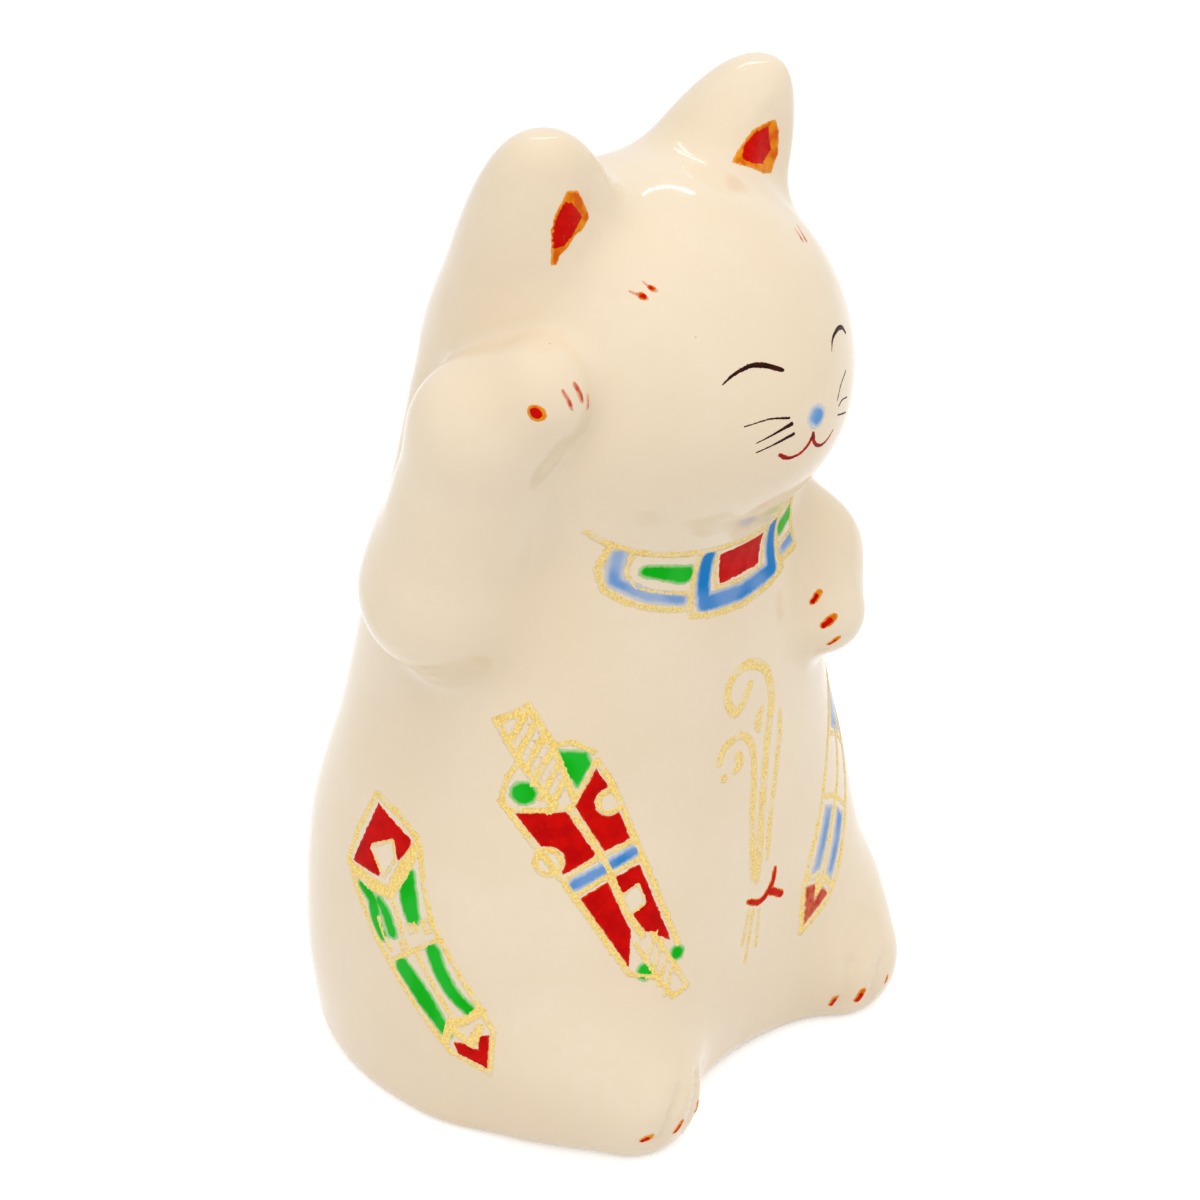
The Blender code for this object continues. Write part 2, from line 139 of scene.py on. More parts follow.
def smooth_union(a, b, blend):
    near = np.maximum(blend - np.abs(a - b), 0.0) / blend
    return np.minimum(a, b) - near * near * blend / 4


def smooth_cut(a, b, blend):
    """What is inside a and outside b."""
    return -smooth_union(-a, b, blend)


def station_values(height):
    """Half width, front and back reach and squareness at any height: a smooth cubic."""
    keys = TORSO_STATIONS[:, 0]
    key = np.clip(height / SHOULDER_HEIGHT, keys[0], keys[-1])
    upper = np.clip(np.searchsorted(keys, key), 1, len(keys) - 1)
    lower = upper - 1
    span = keys[upper] - keys[lower]
    t = (key - keys[lower]) / span
    before = np.maximum(np.arange(len(keys)) - 1, 0)
    after = np.minimum(np.arange(len(keys)) + 1, len(keys) - 1)
    values = []
    for column in range(1, 5):
        row = TORSO_STATIONS[:, column]
        slope = (row[after] - row[before]) / (keys[after] - keys[before])
        values.append(
            row[lower] * (2 * t**3 - 3 * t**2 + 1)
            + slope[lower] * span * (t**3 - 2 * t**2 + t)
            + row[upper] * (3 * t**2 - 2 * t**3)
            + slope[upper] * span * (t**3 - t**2)
        )
    return [mix(*span) for span in zip(NECK, BELLY, values)] + values[3:]


def torso(x, y, z, grow=0.0):
    width, front, back, power = station_values(z)
    width, front, back = width + grow, front + grow, back + grow
    depth = np.where(y > 0, back, front)
    share = ((np.abs(x) / width) ** power + (np.abs(y) / depth) ** power) ** (1 / power)
    share = np.maximum(share, 1e-4)
    reach = np.maximum(np.hypot(x, y), 1e-3) / share
    turn = np.arctan2(y, np.abs(x))
    across = (turn + HAUNCH_ANGLE) / HAUNCH_SPREAD
    up = (z - HAUNCH_HEIGHT) / HAUNCH_RISE
    swell = HAUNCH_BULGE * np.exp(-across * across - up * up)
    size = (width + (front + back) / 2) / 2
    return (share - 1 - swell / reach) * size


def on_torso(height, angle, standoff):
    """A point at a plan angle (0 = the cat's left, -90 degrees = front) off the torso."""
    width, front, back, power = [float(v) for v in station_values(np.float64(height))]
    depth = back if angle > 0 else front
    reach = (abs(math.cos(angle)) / width) ** power + (abs(math.sin(angle)) / depth) ** power
    reach = reach ** (-1 / power) + standoff
    return (math.cos(angle) * reach, math.sin(angle) * reach, height)


def ellipsoid(x, y, z, centre, radii):
    x, y, z = x - centre[0], y - centre[1], z - centre[2]
    a, b, c = radii
    outer = np.sqrt((x / a) ** 2 + (y / b) ** 2 + (z / c) ** 2)
    inner = np.sqrt((x / a**2) ** 2 + (y / b**2) ** 2 + (z / c**2) ** 2)
    return outer * (outer - 1) / np.maximum(inner, 1e-6)


def head(x, y, z):
    y = y - HEAD_CENTRE[1]
    z = z - HEAD_CENTRE[2]
    fall = np.exp(-((x / MUZZLE_SIZE[0]) ** 2) - ((z + MUZZLE_DROP) / MUZZLE_SIZE[1]) ** 2)
    y = np.where(y < 0, y / (1 + MUZZLE_BULGE / HEAD_RADII[1] * fall), y)
    return ellipsoid(x, y, z, (0, 0, 0), HEAD_RADII)


def tapered_limb(x, y, z, start, start_radius, end, end_radius):
    """Exact distance to a round-ended cone."""
    bx, by, bz = (end[i] - start[i] for i in range(3))
    long2 = bx * bx + by * by + bz * bz
    drop = start_radius - end_radius
    side2 = long2 - drop * drop
    px, py, pz = x - start[0], y - start[1], z - start[2]
    along = px * bx + py * by + pz * bz
    beyond = along - long2
    away = (px * long2 - bx * along) ** 2 + (py * long2 - by * along) ** 2
    away = away + (pz * long2 - bz * along) ** 2
    key = np.sign(drop) * drop * drop * away
    at_end = np.sqrt(away + beyond * beyond * long2) / long2 - end_radius
    at_start = np.sqrt(away + along * along * long2) / long2 - start_radius
    beside = (np.sqrt(np.maximum(away * side2 / long2, 0)) + along * drop) / long2 - start_radius
    past = np.sign(beyond) * side2 * beyond * beyond * long2 > key
    short = np.sign(along) * side2 * along * along * long2 < key
    return np.where(past, at_end, np.where(short, at_start, beside))


def ear_level(x, y, z, side):
    share = (z - EAR_ROOT[2]) / EAR_LENGTH
    x = x - side * (EAR_ROOT[0] + EAR_LEAN[0] * share)
    y = y - (EAR_ROOT[1] + EAR_LEAN[1] * share)
    depth = np.where(y > 0, EAR_ROOT_REACH[2], EAR_ROOT_REACH[1])
    oval = (x / EAR_ROOT_REACH[0]) ** 2 + (y / depth) ** 2
    below = (share * EAR_LENGTH / EAR_ROOT_DROP) ** 2
    return (oval + 1e-4) ** (0.5 / EAR_ROUNDNESS) + np.where(share > 0, share, below) - 1


def ear(x, y, z, side):
    """The horn's level turned into a distance by its own slope, less the shallow dish."""
    level = ear_level(x, y, z, side)
    probe = 0.2
    slope = np.sqrt(sum(
        (ear_level(x + i, y + j, z + k, side) - ear_level(x - i, y - j, z - k, side)) ** 2
        for i, j, k in np.eye(3) * probe)) / (2 * probe)
    distance = level / np.maximum(slope, 0.02)
    taper = (1 - EAR_DISH_PLACE) ** EAR_ROUNDNESS
    front = -EAR_LEAN[1] * EAR_DISH_PLACE + EAR_ROOT_REACH[1] * taper
    dish = (
        side * (EAR_ROOT[0] + EAR_LEAN[0] * EAR_DISH_PLACE),
        EAR_ROOT[1] + EAR_DISH_DEPTH - front - EAR_DISH_RADII[1],
        EAR_ROOT[2] + EAR_LENGTH * EAR_DISH_PLACE,
    )
    scoop = ellipsoid(x, y, z, dish, EAR_DISH_RADII)
    return smooth_cut(distance, scoop, EAR_DISH_ROUND)


def ball_box(*balls):
    """The box round some balls, as three (low, high) pairs."""
    return [(min(centre[i] - radius for centre, radius in balls),
             max(centre[i] + radius for centre, radius in balls)) for i in range(3)]


def torso_ball(height, angle, standoff, radius):
    return on_torso(height, math.radians(angle), standoff), radius


def make_forms():
    """Every form that the skin joins, in order: distance, blend radius and box."""
    forms = []

    def limb(blend, *balls):
        """Tapered lengths through a run of balls, well rounded where they meet."""

        def distance(x, y, z):
            total = None
            for start, end in zip(balls, balls[1:]):
                length = tapered_limb(x, y, z, *start, *end)
                total = length if total is None else smooth_union(total, length, LIMB_BLEND)
            return total

        forms.append((distance, blend, ball_box(*balls)))

    head_ball = (HEAD_CENTRE, max(HEAD_RADII) + MUZZLE_BULGE)
    forms.append((head, HEAD_BLEND, ball_box(head_ball)))
    tail_root = torso_ball(TAIL_ROOT[0], 90.0, *TAIL_ROOT[1:])
    tip, tip_radius = torso_ball(TAIL_TIP[0], 90.0, *TAIL_TIP[1:])
    limb(TAIL_BLEND, tail_root, ((tip[0] + TAIL_SWING, *tip[1:]), tip_radius))
    for side in (-1, 1):
        limb(FOOT_BLEND, *(((side * c[0], c[1], c[2]), radius) for c, radius in (HEEL, TOES)))
        root = (side * EAR_ROOT[0], EAR_ROOT[1], EAR_ROOT[2])
        tip = (root[0] + side * EAR_LEAN[0], root[1] + EAR_LEAN[1], root[2] + EAR_LENGTH)
        reach = max(EAR_ROOT_REACH)
        box = ball_box((root, reach), (tip, reach))
        forms.append((lambda x, y, z, s=side: ear(x, y, z, s), EAR_BLEND, box))
    elbow = torso_ball(ELBOW_HEIGHT, 180.0, ELBOW_STANDOFF, ELBOW_RADIUS)
    limb(ARM_BLEND, RAISED_SHOULDER, elbow, WRIST)
    limb(PAW_BLEND, WRIST, RAISED_PAW)
    limb(REST_ARM_BLEND, *(torso_ball(*ball) for ball in (REST_SHOULDER, REST_ELBOW, REST_PAW)))
    return forms


FORMS = make_forms()
# Shallow creases between the toes, from the instep down to the claws, as (x, z) seen from
# the front
TOE_GROOVES = (
    ((-23.4, 11.6), (-25.9, 8.4), (-27.5, 4.6)),
    ((-18.2, 10.6), (-20.6, 7.6), (-22.4, 4.4)),
    ((18.3, 11.8), (17.9, 9.1), (17.2, 4.6)),
    ((24.4, 11.2), (22.2, 8.4), (21.0, 4.4)),
)
GROOVE_DEPTH = 0.7
GROOVE_WIDTH = 0.8
INSTEP = -30.0
HOLLOW_TOP = 55.0
HOLLOW_ROUND = 8.0
FLOOR_ROUND = 1.0
RIM_ROUND = 0.4


def off_path(x, z, path):
    """Squared distance to a run of straight lines, seen from the front."""
    best = np.inf
    for (ax, az), (bx, bz) in zip(path, path[1:]):
        across, up = bx - ax, bz - az
        share = np.clip(((x - ax) * across + (z - az) * up) / (across**2 + up**2), 0, 1)
        best = np.minimum(best, (x - ax - share * across) ** 2 + (z - az - share * up) ** 2)
    return best


def finish_field(outer, x, y, z):
    """The toes' creases, the flat foot, and the hollow that opens through it."""
    in_front = GROOVE_DEPTH * np.clip((INSTEP - y) / 3.0, 0, 1)
    for groove in TOE_GROOVES:
        outer = outer + in_front * np.exp(-off_path(x, z, groove) / GROOVE_WIDTH**2)
    outer = smooth_cut(outer, z, FLOOR_ROUND)
    hollow = smooth_cut(torso(x, y, z, -WALL), HOLLOW_TOP - z, HOLLOW_ROUND)
    return smooth_cut(outer, hollow, RIM_ROUND)


def field(points):
    x, y, z = points[:, 0], points[:, 1], points[:, 2]
    outer = smooth_cut(torso(x, y, z), SHOULDER_HEIGHT - z, SHOULDER_ROUND)
    for form, blend, box in FORMS:
        outer = smooth_union(outer, form(x, y, z), blend)
    return finish_field(outer, x, y, z)


def slope(points, step=0.1):
    columns = []
    for axis in range(3):
        shift = np.zeros(3)
        shift[axis] = step
        columns.append((field(points + shift) - field(points - shift)) / (2 * step))
    return np.stack(columns, 1)


def settle(points, rounds, reach):
    """Move points onto the skin along its slope, none further than reach a round."""
    for _ in range(rounds):
        value = field(points)
        grade = slope(points)
        steps = -grade * (value / np.maximum((grade**2).sum(1), 1e-3))[:, None]
        length = np.linalg.norm(steps, axis=1, keepdims=True)
        points = points + steps * np.minimum(1, reach / np.maximum(length, 1e-9))
    return points


def field_on_grid():
    low = CAD_LOW - GRID_MARGIN * GRID_STEP
    high = CAD_HIGH + GRID_MARGIN * GRID_STEP
    counts = np.ceil((high - low) / GRID_STEP).astype(int) + 1
    axes = [low[i] + GRID_STEP * np.arange(counts[i]) for i in range(3)]
    x, y, z = axes[0][:, None, None], axes[1][None, :, None], axes[2][None, None, :]
    outer = smooth_cut(torso(x, y, z), SHOULDER_HEIGHT - z, SHOULDER_ROUND)
    for form, blend, box in FORMS:
        spans = []
        for i in range(3):
            margin = blend + 2 * GRID_STEP
            inside = np.nonzero((axes[i] > box[i][0] - margin) & (axes[i] < box[i][1] + margin))[0]
            spans.append(slice(inside[0], inside[-1] + 1))
        part = form(x[spans[0]], y[:, spans[1]], z[:, :, spans[2]])
        outer[tuple(spans)] = smooth_union(outer[tuple(spans)], part, blend)
    return finish_field(outer, x, y, z), low


def surface_net(values, low):
    """Quads round every sign change of the grid, with a point in each crossed cell."""
    inside = values < 0
    shape = np.array(values.shape) - 1
    total = np.zeros((*shape, 3))
    count = np.zeros(shape)
    corners = [(i, j, k) for i in (0, 1) for j in (0, 1) for k in (0, 1)]

    def at(array, corner):
        return array[tuple(slice(c, c + n) for c, n in zip(corner, shape))]

    for axis in range(3):
        for corner in corners:
            if corner[axis]:
                continue
            other = list(corner)
            other[axis] = 1
            a, b = at(values, corner), at(values, other)
            cut = at(inside, corner) != at(inside, other)
            share = np.where(cut, a / np.where(cut, a - b, 1), 0)
            for i in range(3):
                total[..., i] += np.where(cut, corner[i] + (share if i == axis else 0), 0)
            count += cut
    crossed = count > 0
    index = np.full(shape, -1)
    cells = np.argwhere(crossed)
    index[crossed] = np.arange(len(cells))
    points = cells + total[crossed] / count[crossed][:, None]
    quads = []
    for axis in range(3):
        u, v = (axis + 1) % 3, (axis + 2) % 3
        edges = np.argwhere(np.diff(inside, axis=axis))
        edges = edges[(edges[:, u] > 0) & (edges[:, v] > 0)]
        edges = edges[(edges[:, u] < shape[u]) & (edges[:, v] < shape[v])]
        outward = inside[tuple(edges.T)]
        ring = []
        for du, dv in ((-1, -1), (0, -1), (0, 0), (-1, 0)):
            cell = edges.copy()
            cell[:, u] += du
            cell[:, v] += dv
            ring.append(index[tuple(cell.T)])
        ring = np.stack(ring, 1)
        ring[~outward] = ring[~outward][:, ::-1]
        quads.append(ring)
    return low + points * GRID_STEP, np.concatenate(quads)


def make_mesh(name, points, faces, attributes=None):
    """A smooth mesh from points in mm, with float attributes of its points."""
    mesh = bpy.data.meshes.new(name)
    mesh.from_pydata((points * MM).tolist(), [], [list(face) for face in faces])
    for key, values in (attributes or {}).items():
        layer = mesh.attributes.new(key, "FLOAT", "POINT")
        layer.data.foreach_set("value", np.asarray(values, np.float32))
    mesh.shade_smooth()
    mesh.update()
    return mesh


def add_piece(name, mesh, slot, *materials):
    piece = bpy.data.objects.new(name, mesh)
    bpy.context.scene.collection.objects.link(piece)
    for material in materials:
        mesh.materials.append(material)
    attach(piece, "root")
    return piece


# -------------------- materials


def put(socket, value):
    """Link a socket to an output, or set its value."""
    if isinstance(value, bpy.types.NodeSocket):
        socket.id_data.links.new(value, socket)
    else:
        socket.default_value = value


def add_node(tree, kind, inputs=None, **settings):
    node = tree.nodes.new(kind)
    for key, value in settings.items():
        setattr(node, key, value)
    for key, value in (inputs or {}).items():
        put(node.inputs[key], value)
    return node


class Nodes:
    """Short calls for building a material's node tree."""

    def __init__(self, name):
        self.material = bpy.data.materials.new(name)
        self.material.use_nodes = True
        self.shader = self.material.node_tree.nodes["Principled BSDF"]
        where = self.add("ShaderNodeTexCoord").outputs["Object"]
        millimetres = {"Vector": where, "Scale": (1000.0, 1000.0, 1000.0)}
        self.place = self.add("ShaderNodeMapping", millimetres).outputs[0]

    def add(self, kind, inputs=None, **settings):
        return add_node(self.material.node_tree, kind, inputs, **settings)

    def noise(self, size, detail=2.0, offset=0.0):
        """Noise whose patches are about size millimetres across."""
        inputs = {"Vector": self.place, "Scale": 1.0 / size, "Detail": detail, "W": offset}
        return self.add("ShaderNodeTexNoise", inputs, noise_dimensions="4D").outputs["Fac"]

    def ramp(self, value, low, high, to_low=0.0, to_high=1.0):
        inputs = {"Value": value, "From Min": low, "From Max": high, "To Min": to_low,
                  "To Max": to_high}
        node = self.add("ShaderNodeMapRange", inputs, interpolation_type="SMOOTHSTEP")
        return node.outputs["Result"]

    def blend(self, share, first, second):
        """A mix of two colours, each a socket or 0-255 display values."""
        first, second = (linear(c) if isinstance(c, tuple) else c for c in (first, second))
        node = self.add("ShaderNodeMix", data_type="RGBA")
        for key, value in (("Factor", share), ("A", first), ("B", second)):
            put(node.inputs[key], value)
        return node.outputs["Result"]

    def maths(self, operation, first, second):
        return self.add("ShaderNodeMath", {0: first, 1: second}, operation=operation).outputs[0]

    def attribute(self, name):
        return self.add("ShaderNodeAttribute", attribute_name=name).outputs["Fac"]

    def bump(self, height, distance, strength=1.0):
        inputs = {"Distance": distance * MM, "Strength": strength, "Height": height}
        put(self.shader.inputs["Normal"], self.add("ShaderNodeBump", inputs).outputs[0])

    def set(self, **values):
        for key, value in values.items():
            put(self.shader.inputs[key.replace("_", " ")], value)


def linear(colour):
    """The scene's own values for a colour given as 0-255 display values."""
    shares = [c / 255 for c in colour]
    return *(c / 12.92 if c <= 10 / 255 else ((c + 0.055) / 1.055) ** 2.4 for c in shares), 1.0


GLAZE_LIGHT = (246, 228, 200)
GLAZE_WARM = (243, 222, 191)
# The shade tone that the creases are painted towards.
GLAZE_CREASE_SHADE = (228, 200, 162)


def glaze_material():
    """The cream glaze: broad warm drifts, fine mottling, painted shade darkening the creases
    (standing also for glaze pooled thicker there) and rare iron specks.
    """
    nodes = Nodes("cream_glaze")
    drift = nodes.ramp(nodes.noise(26.0, 2.0), 0.32, 0.68)
    mottle = nodes.ramp(nodes.noise(1.6, 3.0, 4.0), 0.35, 0.7, 0.0, 0.35)
    colour = nodes.blend(drift, GLAZE_LIGHT, GLAZE_WARM)
    colour = nodes.blend(mottle, colour, GLAZE_WARM)
    # Painted shade: the more concave a place, the more its glaze is darkened towards the shade tone.
    # This also stands for glaze pooled there.
    crease = nodes.ramp(nodes.attribute("crease"), 0.0, 1.0, 0.0, 0.25)
    colour = nodes.blend(crease, colour, GLAZE_CREASE_SHADE)
    cells = nodes.add("ShaderNodeTexVoronoi", {"Vector": nodes.place, "Scale": 1 / 7.0},
                      feature="F1")
    dot = nodes.ramp(cells.outputs["Distance"], 0.018, 0.032, 1.0, 0.0)
    picked = nodes.add("ShaderNodeSeparateColor", {0: cells.outputs["Color"]})
    rare = nodes.ramp(picked.outputs[0], 0.80, 0.82)
    speck = nodes.maths("MULTIPLY", nodes.maths("MULTIPLY", dot, rare), 0.45)
    colour = nodes.blend(speck, colour, (150, 118, 84))
    nodes.set(
        Base_Color=colour,
        Roughness=nodes.ramp(nodes.noise(9.0, 2.0, 2.0), 0.3, 0.7, 0.07, 0.13),
        IOR=1.5,
    )
    nodes.bump(nodes.noise(2.2, 1.5, 7.0), 0.012)
    return nodes.material


def bare_material():
    nodes = Nodes("unglazed_porcelain")
    grain = nodes.noise(0.35, 4.0)
    stain = nodes.ramp(nodes.noise(12.0, 3.0, 5.0), 0.4, 0.7)
    colour = nodes.blend(grain, (238, 228, 212), (220, 204, 182))
    colour = nodes.blend(nodes.maths("MULTIPLY", stain, 0.5), colour, (206, 182, 152))
    nodes.set(Base_Color=colour, Roughness=nodes.ramp(grain, 0.3, 0.7, 0.62, 0.8))
    nodes.bump(grain, 0.05, 0.6)
    return nodes.material


def enamel(name, slot, deep, bright, thin, patch, fade, shine, brushed=True):
    """Overglaze enamel and its slot, unevenly thick, so the glaze shows through its rim.

    Patch and fade are in mm. A brushed one is streaky with a broken rim; the others melt
    into the glaze softly."""
    nodes = Nodes(name)
    pooled = nodes.ramp(nodes.noise(patch, 3.0 if brushed else 0.0), 0.35, 0.65)
    colour = nodes.blend(pooled, bright, deep)
    rim = nodes.attribute("inset")
    if brushed:
        rim = nodes.maths("ADD", rim, nodes.ramp(
            nodes.noise(0.8, 2.0, 3.0), 0.3, 0.7, -0.35 * fade, 0.35 * fade))
    colour = nodes.blend(nodes.ramp(rim, 0.05 * fade, fade), thin, colour)
    if brushed:
        streak = nodes.ramp(nodes.noise(0.45, 2.0, 9.0), 0.62, 0.78, 0.0, 0.35)
        colour = nodes.blend(streak, colour, thin)
    nodes.set(Base_Color=colour, IOR=1.5, Specular_IOR_Level=0.06,
              Roughness=nodes.ramp(pooled, 0.0, 1.0, shine, shine + 0.1))
    nodes.bump(nodes.noise(0.5, 2.0, 1.0), 0.03)
    return nodes.material, slot


def gilding(name, low, high, gleam):
    """Matt gilding that has worn and sintered into grains, so the glaze shows between."""
    nodes = Nodes(name)
    grains = nodes.noise(0.32, 3.0)
    colour = nodes.blend(nodes.ramp(grains, 0.32, 0.66), low, high)
    worn = nodes.maths("ADD", nodes.noise(1.9, 3.0, 6.0), nodes.ramp(
        nodes.attribute("inset"), 0.0, 0.3, -0.16, 0.04))
    cover = nodes.ramp(worn, 0.36, 0.46)
    colour = nodes.blend(cover, (243, 222, 178), colour)
    nodes.set(
        Base_Color=colour,
        Metallic=nodes.ramp(cover, 0.0, 1.0, 0.0, gleam),
        Roughness=nodes.ramp(grains, 0.3, 0.7, 0.34, 0.52),
    )
    nodes.bump(grains, 0.05, 0.6)
    return nodes.material, "gilding"


# -------------------- the glazed skin

values, corner = field_on_grid()
net_points, net_faces = surface_net(values, corner)
net_points = settle(net_points, 4, 0.4 * GRID_STEP)
net_points[:, 2] = np.maximum(net_points[:, 2], 0.0)
net_points = np.clip(net_points, CAD_LOW, CAD_HIGH)
outward = slope(net_points)
outward /= np.maximum(np.linalg.norm(outward, axis=1, keepdims=True), 1e-6)
# How concave the skin is round each point, for the shade painted into the glaze's creases.
CREASE_PROBE = 3.0
rise = field(net_points + outward * CREASE_PROBE)
crease = np.clip((CREASE_PROBE - rise) / CREASE_PROBE, 0.0, 1.0)

glaze = glaze_material()
bare = bare_material()
skin_mesh = make_mesh("glazed_body", net_points, net_faces, {"crease": crease})
centres = net_points[net_faces].mean(1)
in_hollow = torso(centres[:, 0], centres[:, 1], centres[:, 2], -WALL / 2) < 0
underneath = (centres[:, 2] < 0.2) | (in_hollow & (centres[:, 2] < HOLLOW_TOP + 2))
skin = add_piece("glazed_body", skin_mesh, "glazed_porcelain", glaze, bare)
skin_mesh.polygons.foreach_set("material_index", underneath.astype(np.int32))
skin_mesh.update()
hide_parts("body_casting", "head_casting", "right_ear", "left_ear", "raised_right_arm",
            "resting_left_arm", "right_foot", "left_foot")
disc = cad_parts["base_disc"]
disc.data.materials.clear()
disc.data.materials.append(bare)

TREE = BVHTree.FromPolygons(net_points.tolist(), net_faces.tolist())

# -------------------- drawing on the glaze

PAINT_ROOT = 0.15  # how far a body of paint reaches into the glaze

class Shape:
    """A flat region by its signed distance in mm (negative inside), with its box."""

    def __init__(self, distance, low, high):
        self.distance = distance
        self.low = np.array(low, float)
        self.high = np.array(high, float)

    def __or__(self, other):
        return Shape(lambda p: np.minimum(self.distance(p), other.distance(p)),
                     np.minimum(self.low, other.low), np.maximum(self.high, other.high))

    def __sub__(self, other):
        return Shape(lambda p: np.maximum(self.distance(p), -other.distance(p)),
                     self.low, self.high)

    def __and__(self, other):
        return Shape(lambda p: np.maximum(self.distance(p), other.distance(p)),
                     np.maximum(self.low, other.low), np.minimum(self.high, other.high))


def mirrored(shape):
    """The shape and its mirror image across u = 0."""
    reach = np.abs([shape.low[0], shape.high[0]]).max()

    def distance(p):
        return np.minimum(shape.distance(p), shape.distance(p * (-1, 1)))

    return Shape(distance, (-reach, shape.low[1]), (reach, shape.high[1]))


def area(*corners, round_by=0.0):
    """A filled polygon."""
    ring = np.array(corners, float)

    def distance(p):
        best = np.full(len(p), np.inf)
        odd = np.zeros(len(p), bool)
        for a, b in zip(ring, np.roll(ring, -1, 0)):
            edge = b - a
            rel = p - a
            t = np.clip(rel @ edge / (edge @ edge), 0, 1)
            best = np.minimum(best, ((rel - t[:, None] * edge) ** 2).sum(1))
            crosses = (a[1] > p[:, 1]) != (b[1] > p[:, 1])
            rise_y = b[1] - a[1] if b[1] != a[1] else 1e-9
            odd ^= crosses & (p[:, 0] < (b[0] - a[0]) * (p[:, 1] - a[1]) / rise_y + a[0])
        return np.where(odd, -1, 1) * np.sqrt(best) - round_by

    return Shape(distance, ring.min(0) - round_by, ring.max(0) + round_by)


def box(left, bottom, right, top, inset=0.0):
    """A filled upright rectangle, drawn in on all sides by inset."""
    left, bottom, right, top = left + inset, bottom + inset, right - inset, top - inset
    return area((left, bottom), (right, bottom), (right, top), (left, top))


def through(points, per_span=6):
    """A smooth run of points through the given ones."""
    points = np.array(points, float)
    if len(points) < 3:
        return points
    padded = np.vstack([2 * points[0] - points[1], points, 2 * points[-1] - points[-2]])
    rows = []
    for a, b, c, d in zip(padded, padded[1:], padded[2:], padded[3:]):
        for t in np.arange(per_span) / per_span:
            rows.append(0.5 * (2 * b + (c - a) * t + (2 * a - 5 * b + 4 * c - d) * t * t
                               + (3 * b - a - 3 * c + d) * t**3))
    rows.append(points[-1])
    return np.array(rows)


def line(*points, width=1.0, ends=1.0, smooth=True):
    """A brushed line; width may be several, spread along it, and ends is the share of the
    width that is left at each end."""
    start_end, finish_end = np.broadcast_to(ends, 2)
    widths = np.atleast_1d(width)
    path = through(points) if smooth else np.array(points, float)
    long = np.concatenate([[0], np.cumsum(np.linalg.norm(np.diff(path, axis=0), axis=1))])
    share = long / long[-1]
    full = np.minimum(1, np.minimum(start_end + share * 3.5, finish_end + (1 - share) * 3.5))
    half = np.interp(share, np.linspace(0, 1, len(widths)), widths) / 2 * full
    width = widths.max()

    def distance(p):
        best = np.full(len(p), np.inf)
        for a, b, ra, rb in zip(path, path[1:], half, half[1:]):
            edge = b - a
            t = np.clip((p - a) @ edge / max(edge @ edge, 1e-9), 0, 1)
            gap = np.linalg.norm(p - a - t[:, None] * edge, axis=1) - (ra + (rb - ra) * t)
            best = np.minimum(best, gap)
        return best

    return Shape(distance, path.min(0) - width / 2, path.max(0) + width / 2)


def strokes(*runs, **brush):
    """Brushed lines, each given as its width and then its points."""
    return functools.reduce(Shape.__or__, (line(*points, width=width, **brush)
                                           for width, *points in runs))


def dab(centre, radius, stretch=1.0, turn=0.0):
    """A round or oval touch of the brush."""
    angle = math.radians(turn)
    across = np.array((math.cos(angle), math.sin(angle)))
    along = np.array((-across[1], across[0]))
    centre = np.array(centre, float)
    reach = radius * max(1.0, stretch)

    def distance(p):
        rel = p - centre
        return (np.hypot(rel @ across, rel @ along / stretch) - radius) * min(1.0, stretch)

    return Shape(distance, centre - reach, centre + reach)


def wobble(p, size, seed):
    """Smooth unevenness of about size mm, from -1 to 1, always the same for the same seed."""
    total = np.zeros(len(p))
    for index in range(5):
        turn = 2.399 * (index + 1) + seed
        wave = np.array((math.cos(turn), math.sin(turn))) * (2 * math.pi / size)
        wave = wave * (0.7 + 0.23 * index)
        total += np.sin(p @ wave + 1.7 * index + seed * 3.1) / 5
    return total * 1.6


class Sheet:
    """A drawing plane set against the figurine: u runs right and v up, in mm."""

    def __init__(self, origin, outward, tilt=0.0):
        self.origin = np.array(origin, float)
        self.out = np.array(outward, float) / np.linalg.norm(outward)
        up = np.array((0.0, 0.0, 1.0)) - self.out * self.out[2]
        up /= np.linalg.norm(up)
        right = np.cross(up, self.out)
        angle = math.radians(tilt)
        self.up = up * math.cos(angle) + right * math.sin(angle)
        self.right = np.cross(self.up, self.out)

    def press(self, flat, start=14.0):
        """Where points of the sheet land on the glaze, and the glaze's outward direction."""
        above = self.origin + self.out * start
        above = above + flat[:, :1] * self.right + flat[:, 1:] * self.up
        way = Vector(-self.out)
        landed = np.empty((len(flat), 3))
        missed = np.zeros(len(flat), bool)
        for index, point in enumerate(above):
            hit = TREE.ray_cast(Vector(point), way, 60.0)[0]
            missed[index] = hit is None
            landed[index] = point if hit is None else hit
        landed = np.where(missed[:, None], landed, settle(landed, 1, 0.3))
        normal = slope(landed)
        return landed, normal / np.linalg.norm(normal, axis=1, keepdims=True), missed


def sheet_at(angle, height, tilt=0.0):
    """A sheet that faces the skin at a plan angle and a height."""
    turn = math.radians(angle)
    out = Vector((math.cos(turn), math.sin(turn), 0.0))
    hit = TREE.ray_cast(out * 120 + Vector((0, 0, height)), -out)[0]
    normal = slope(np.array([hit]))[0]
    return Sheet(hit, normal, tilt)


def sheet_on(place):
    """A sheet that touches the skin nearest to a point."""
    hit = settle(np.array([place]), 6, 1.0)
    return Sheet(hit[0], slope(hit)[0])


def compact(cells):
    """The points that the cells use, and the cells renumbered to them."""
    used, cells = np.unique(cells, return_inverse=True)
    return used, cells.reshape(-1, 4)


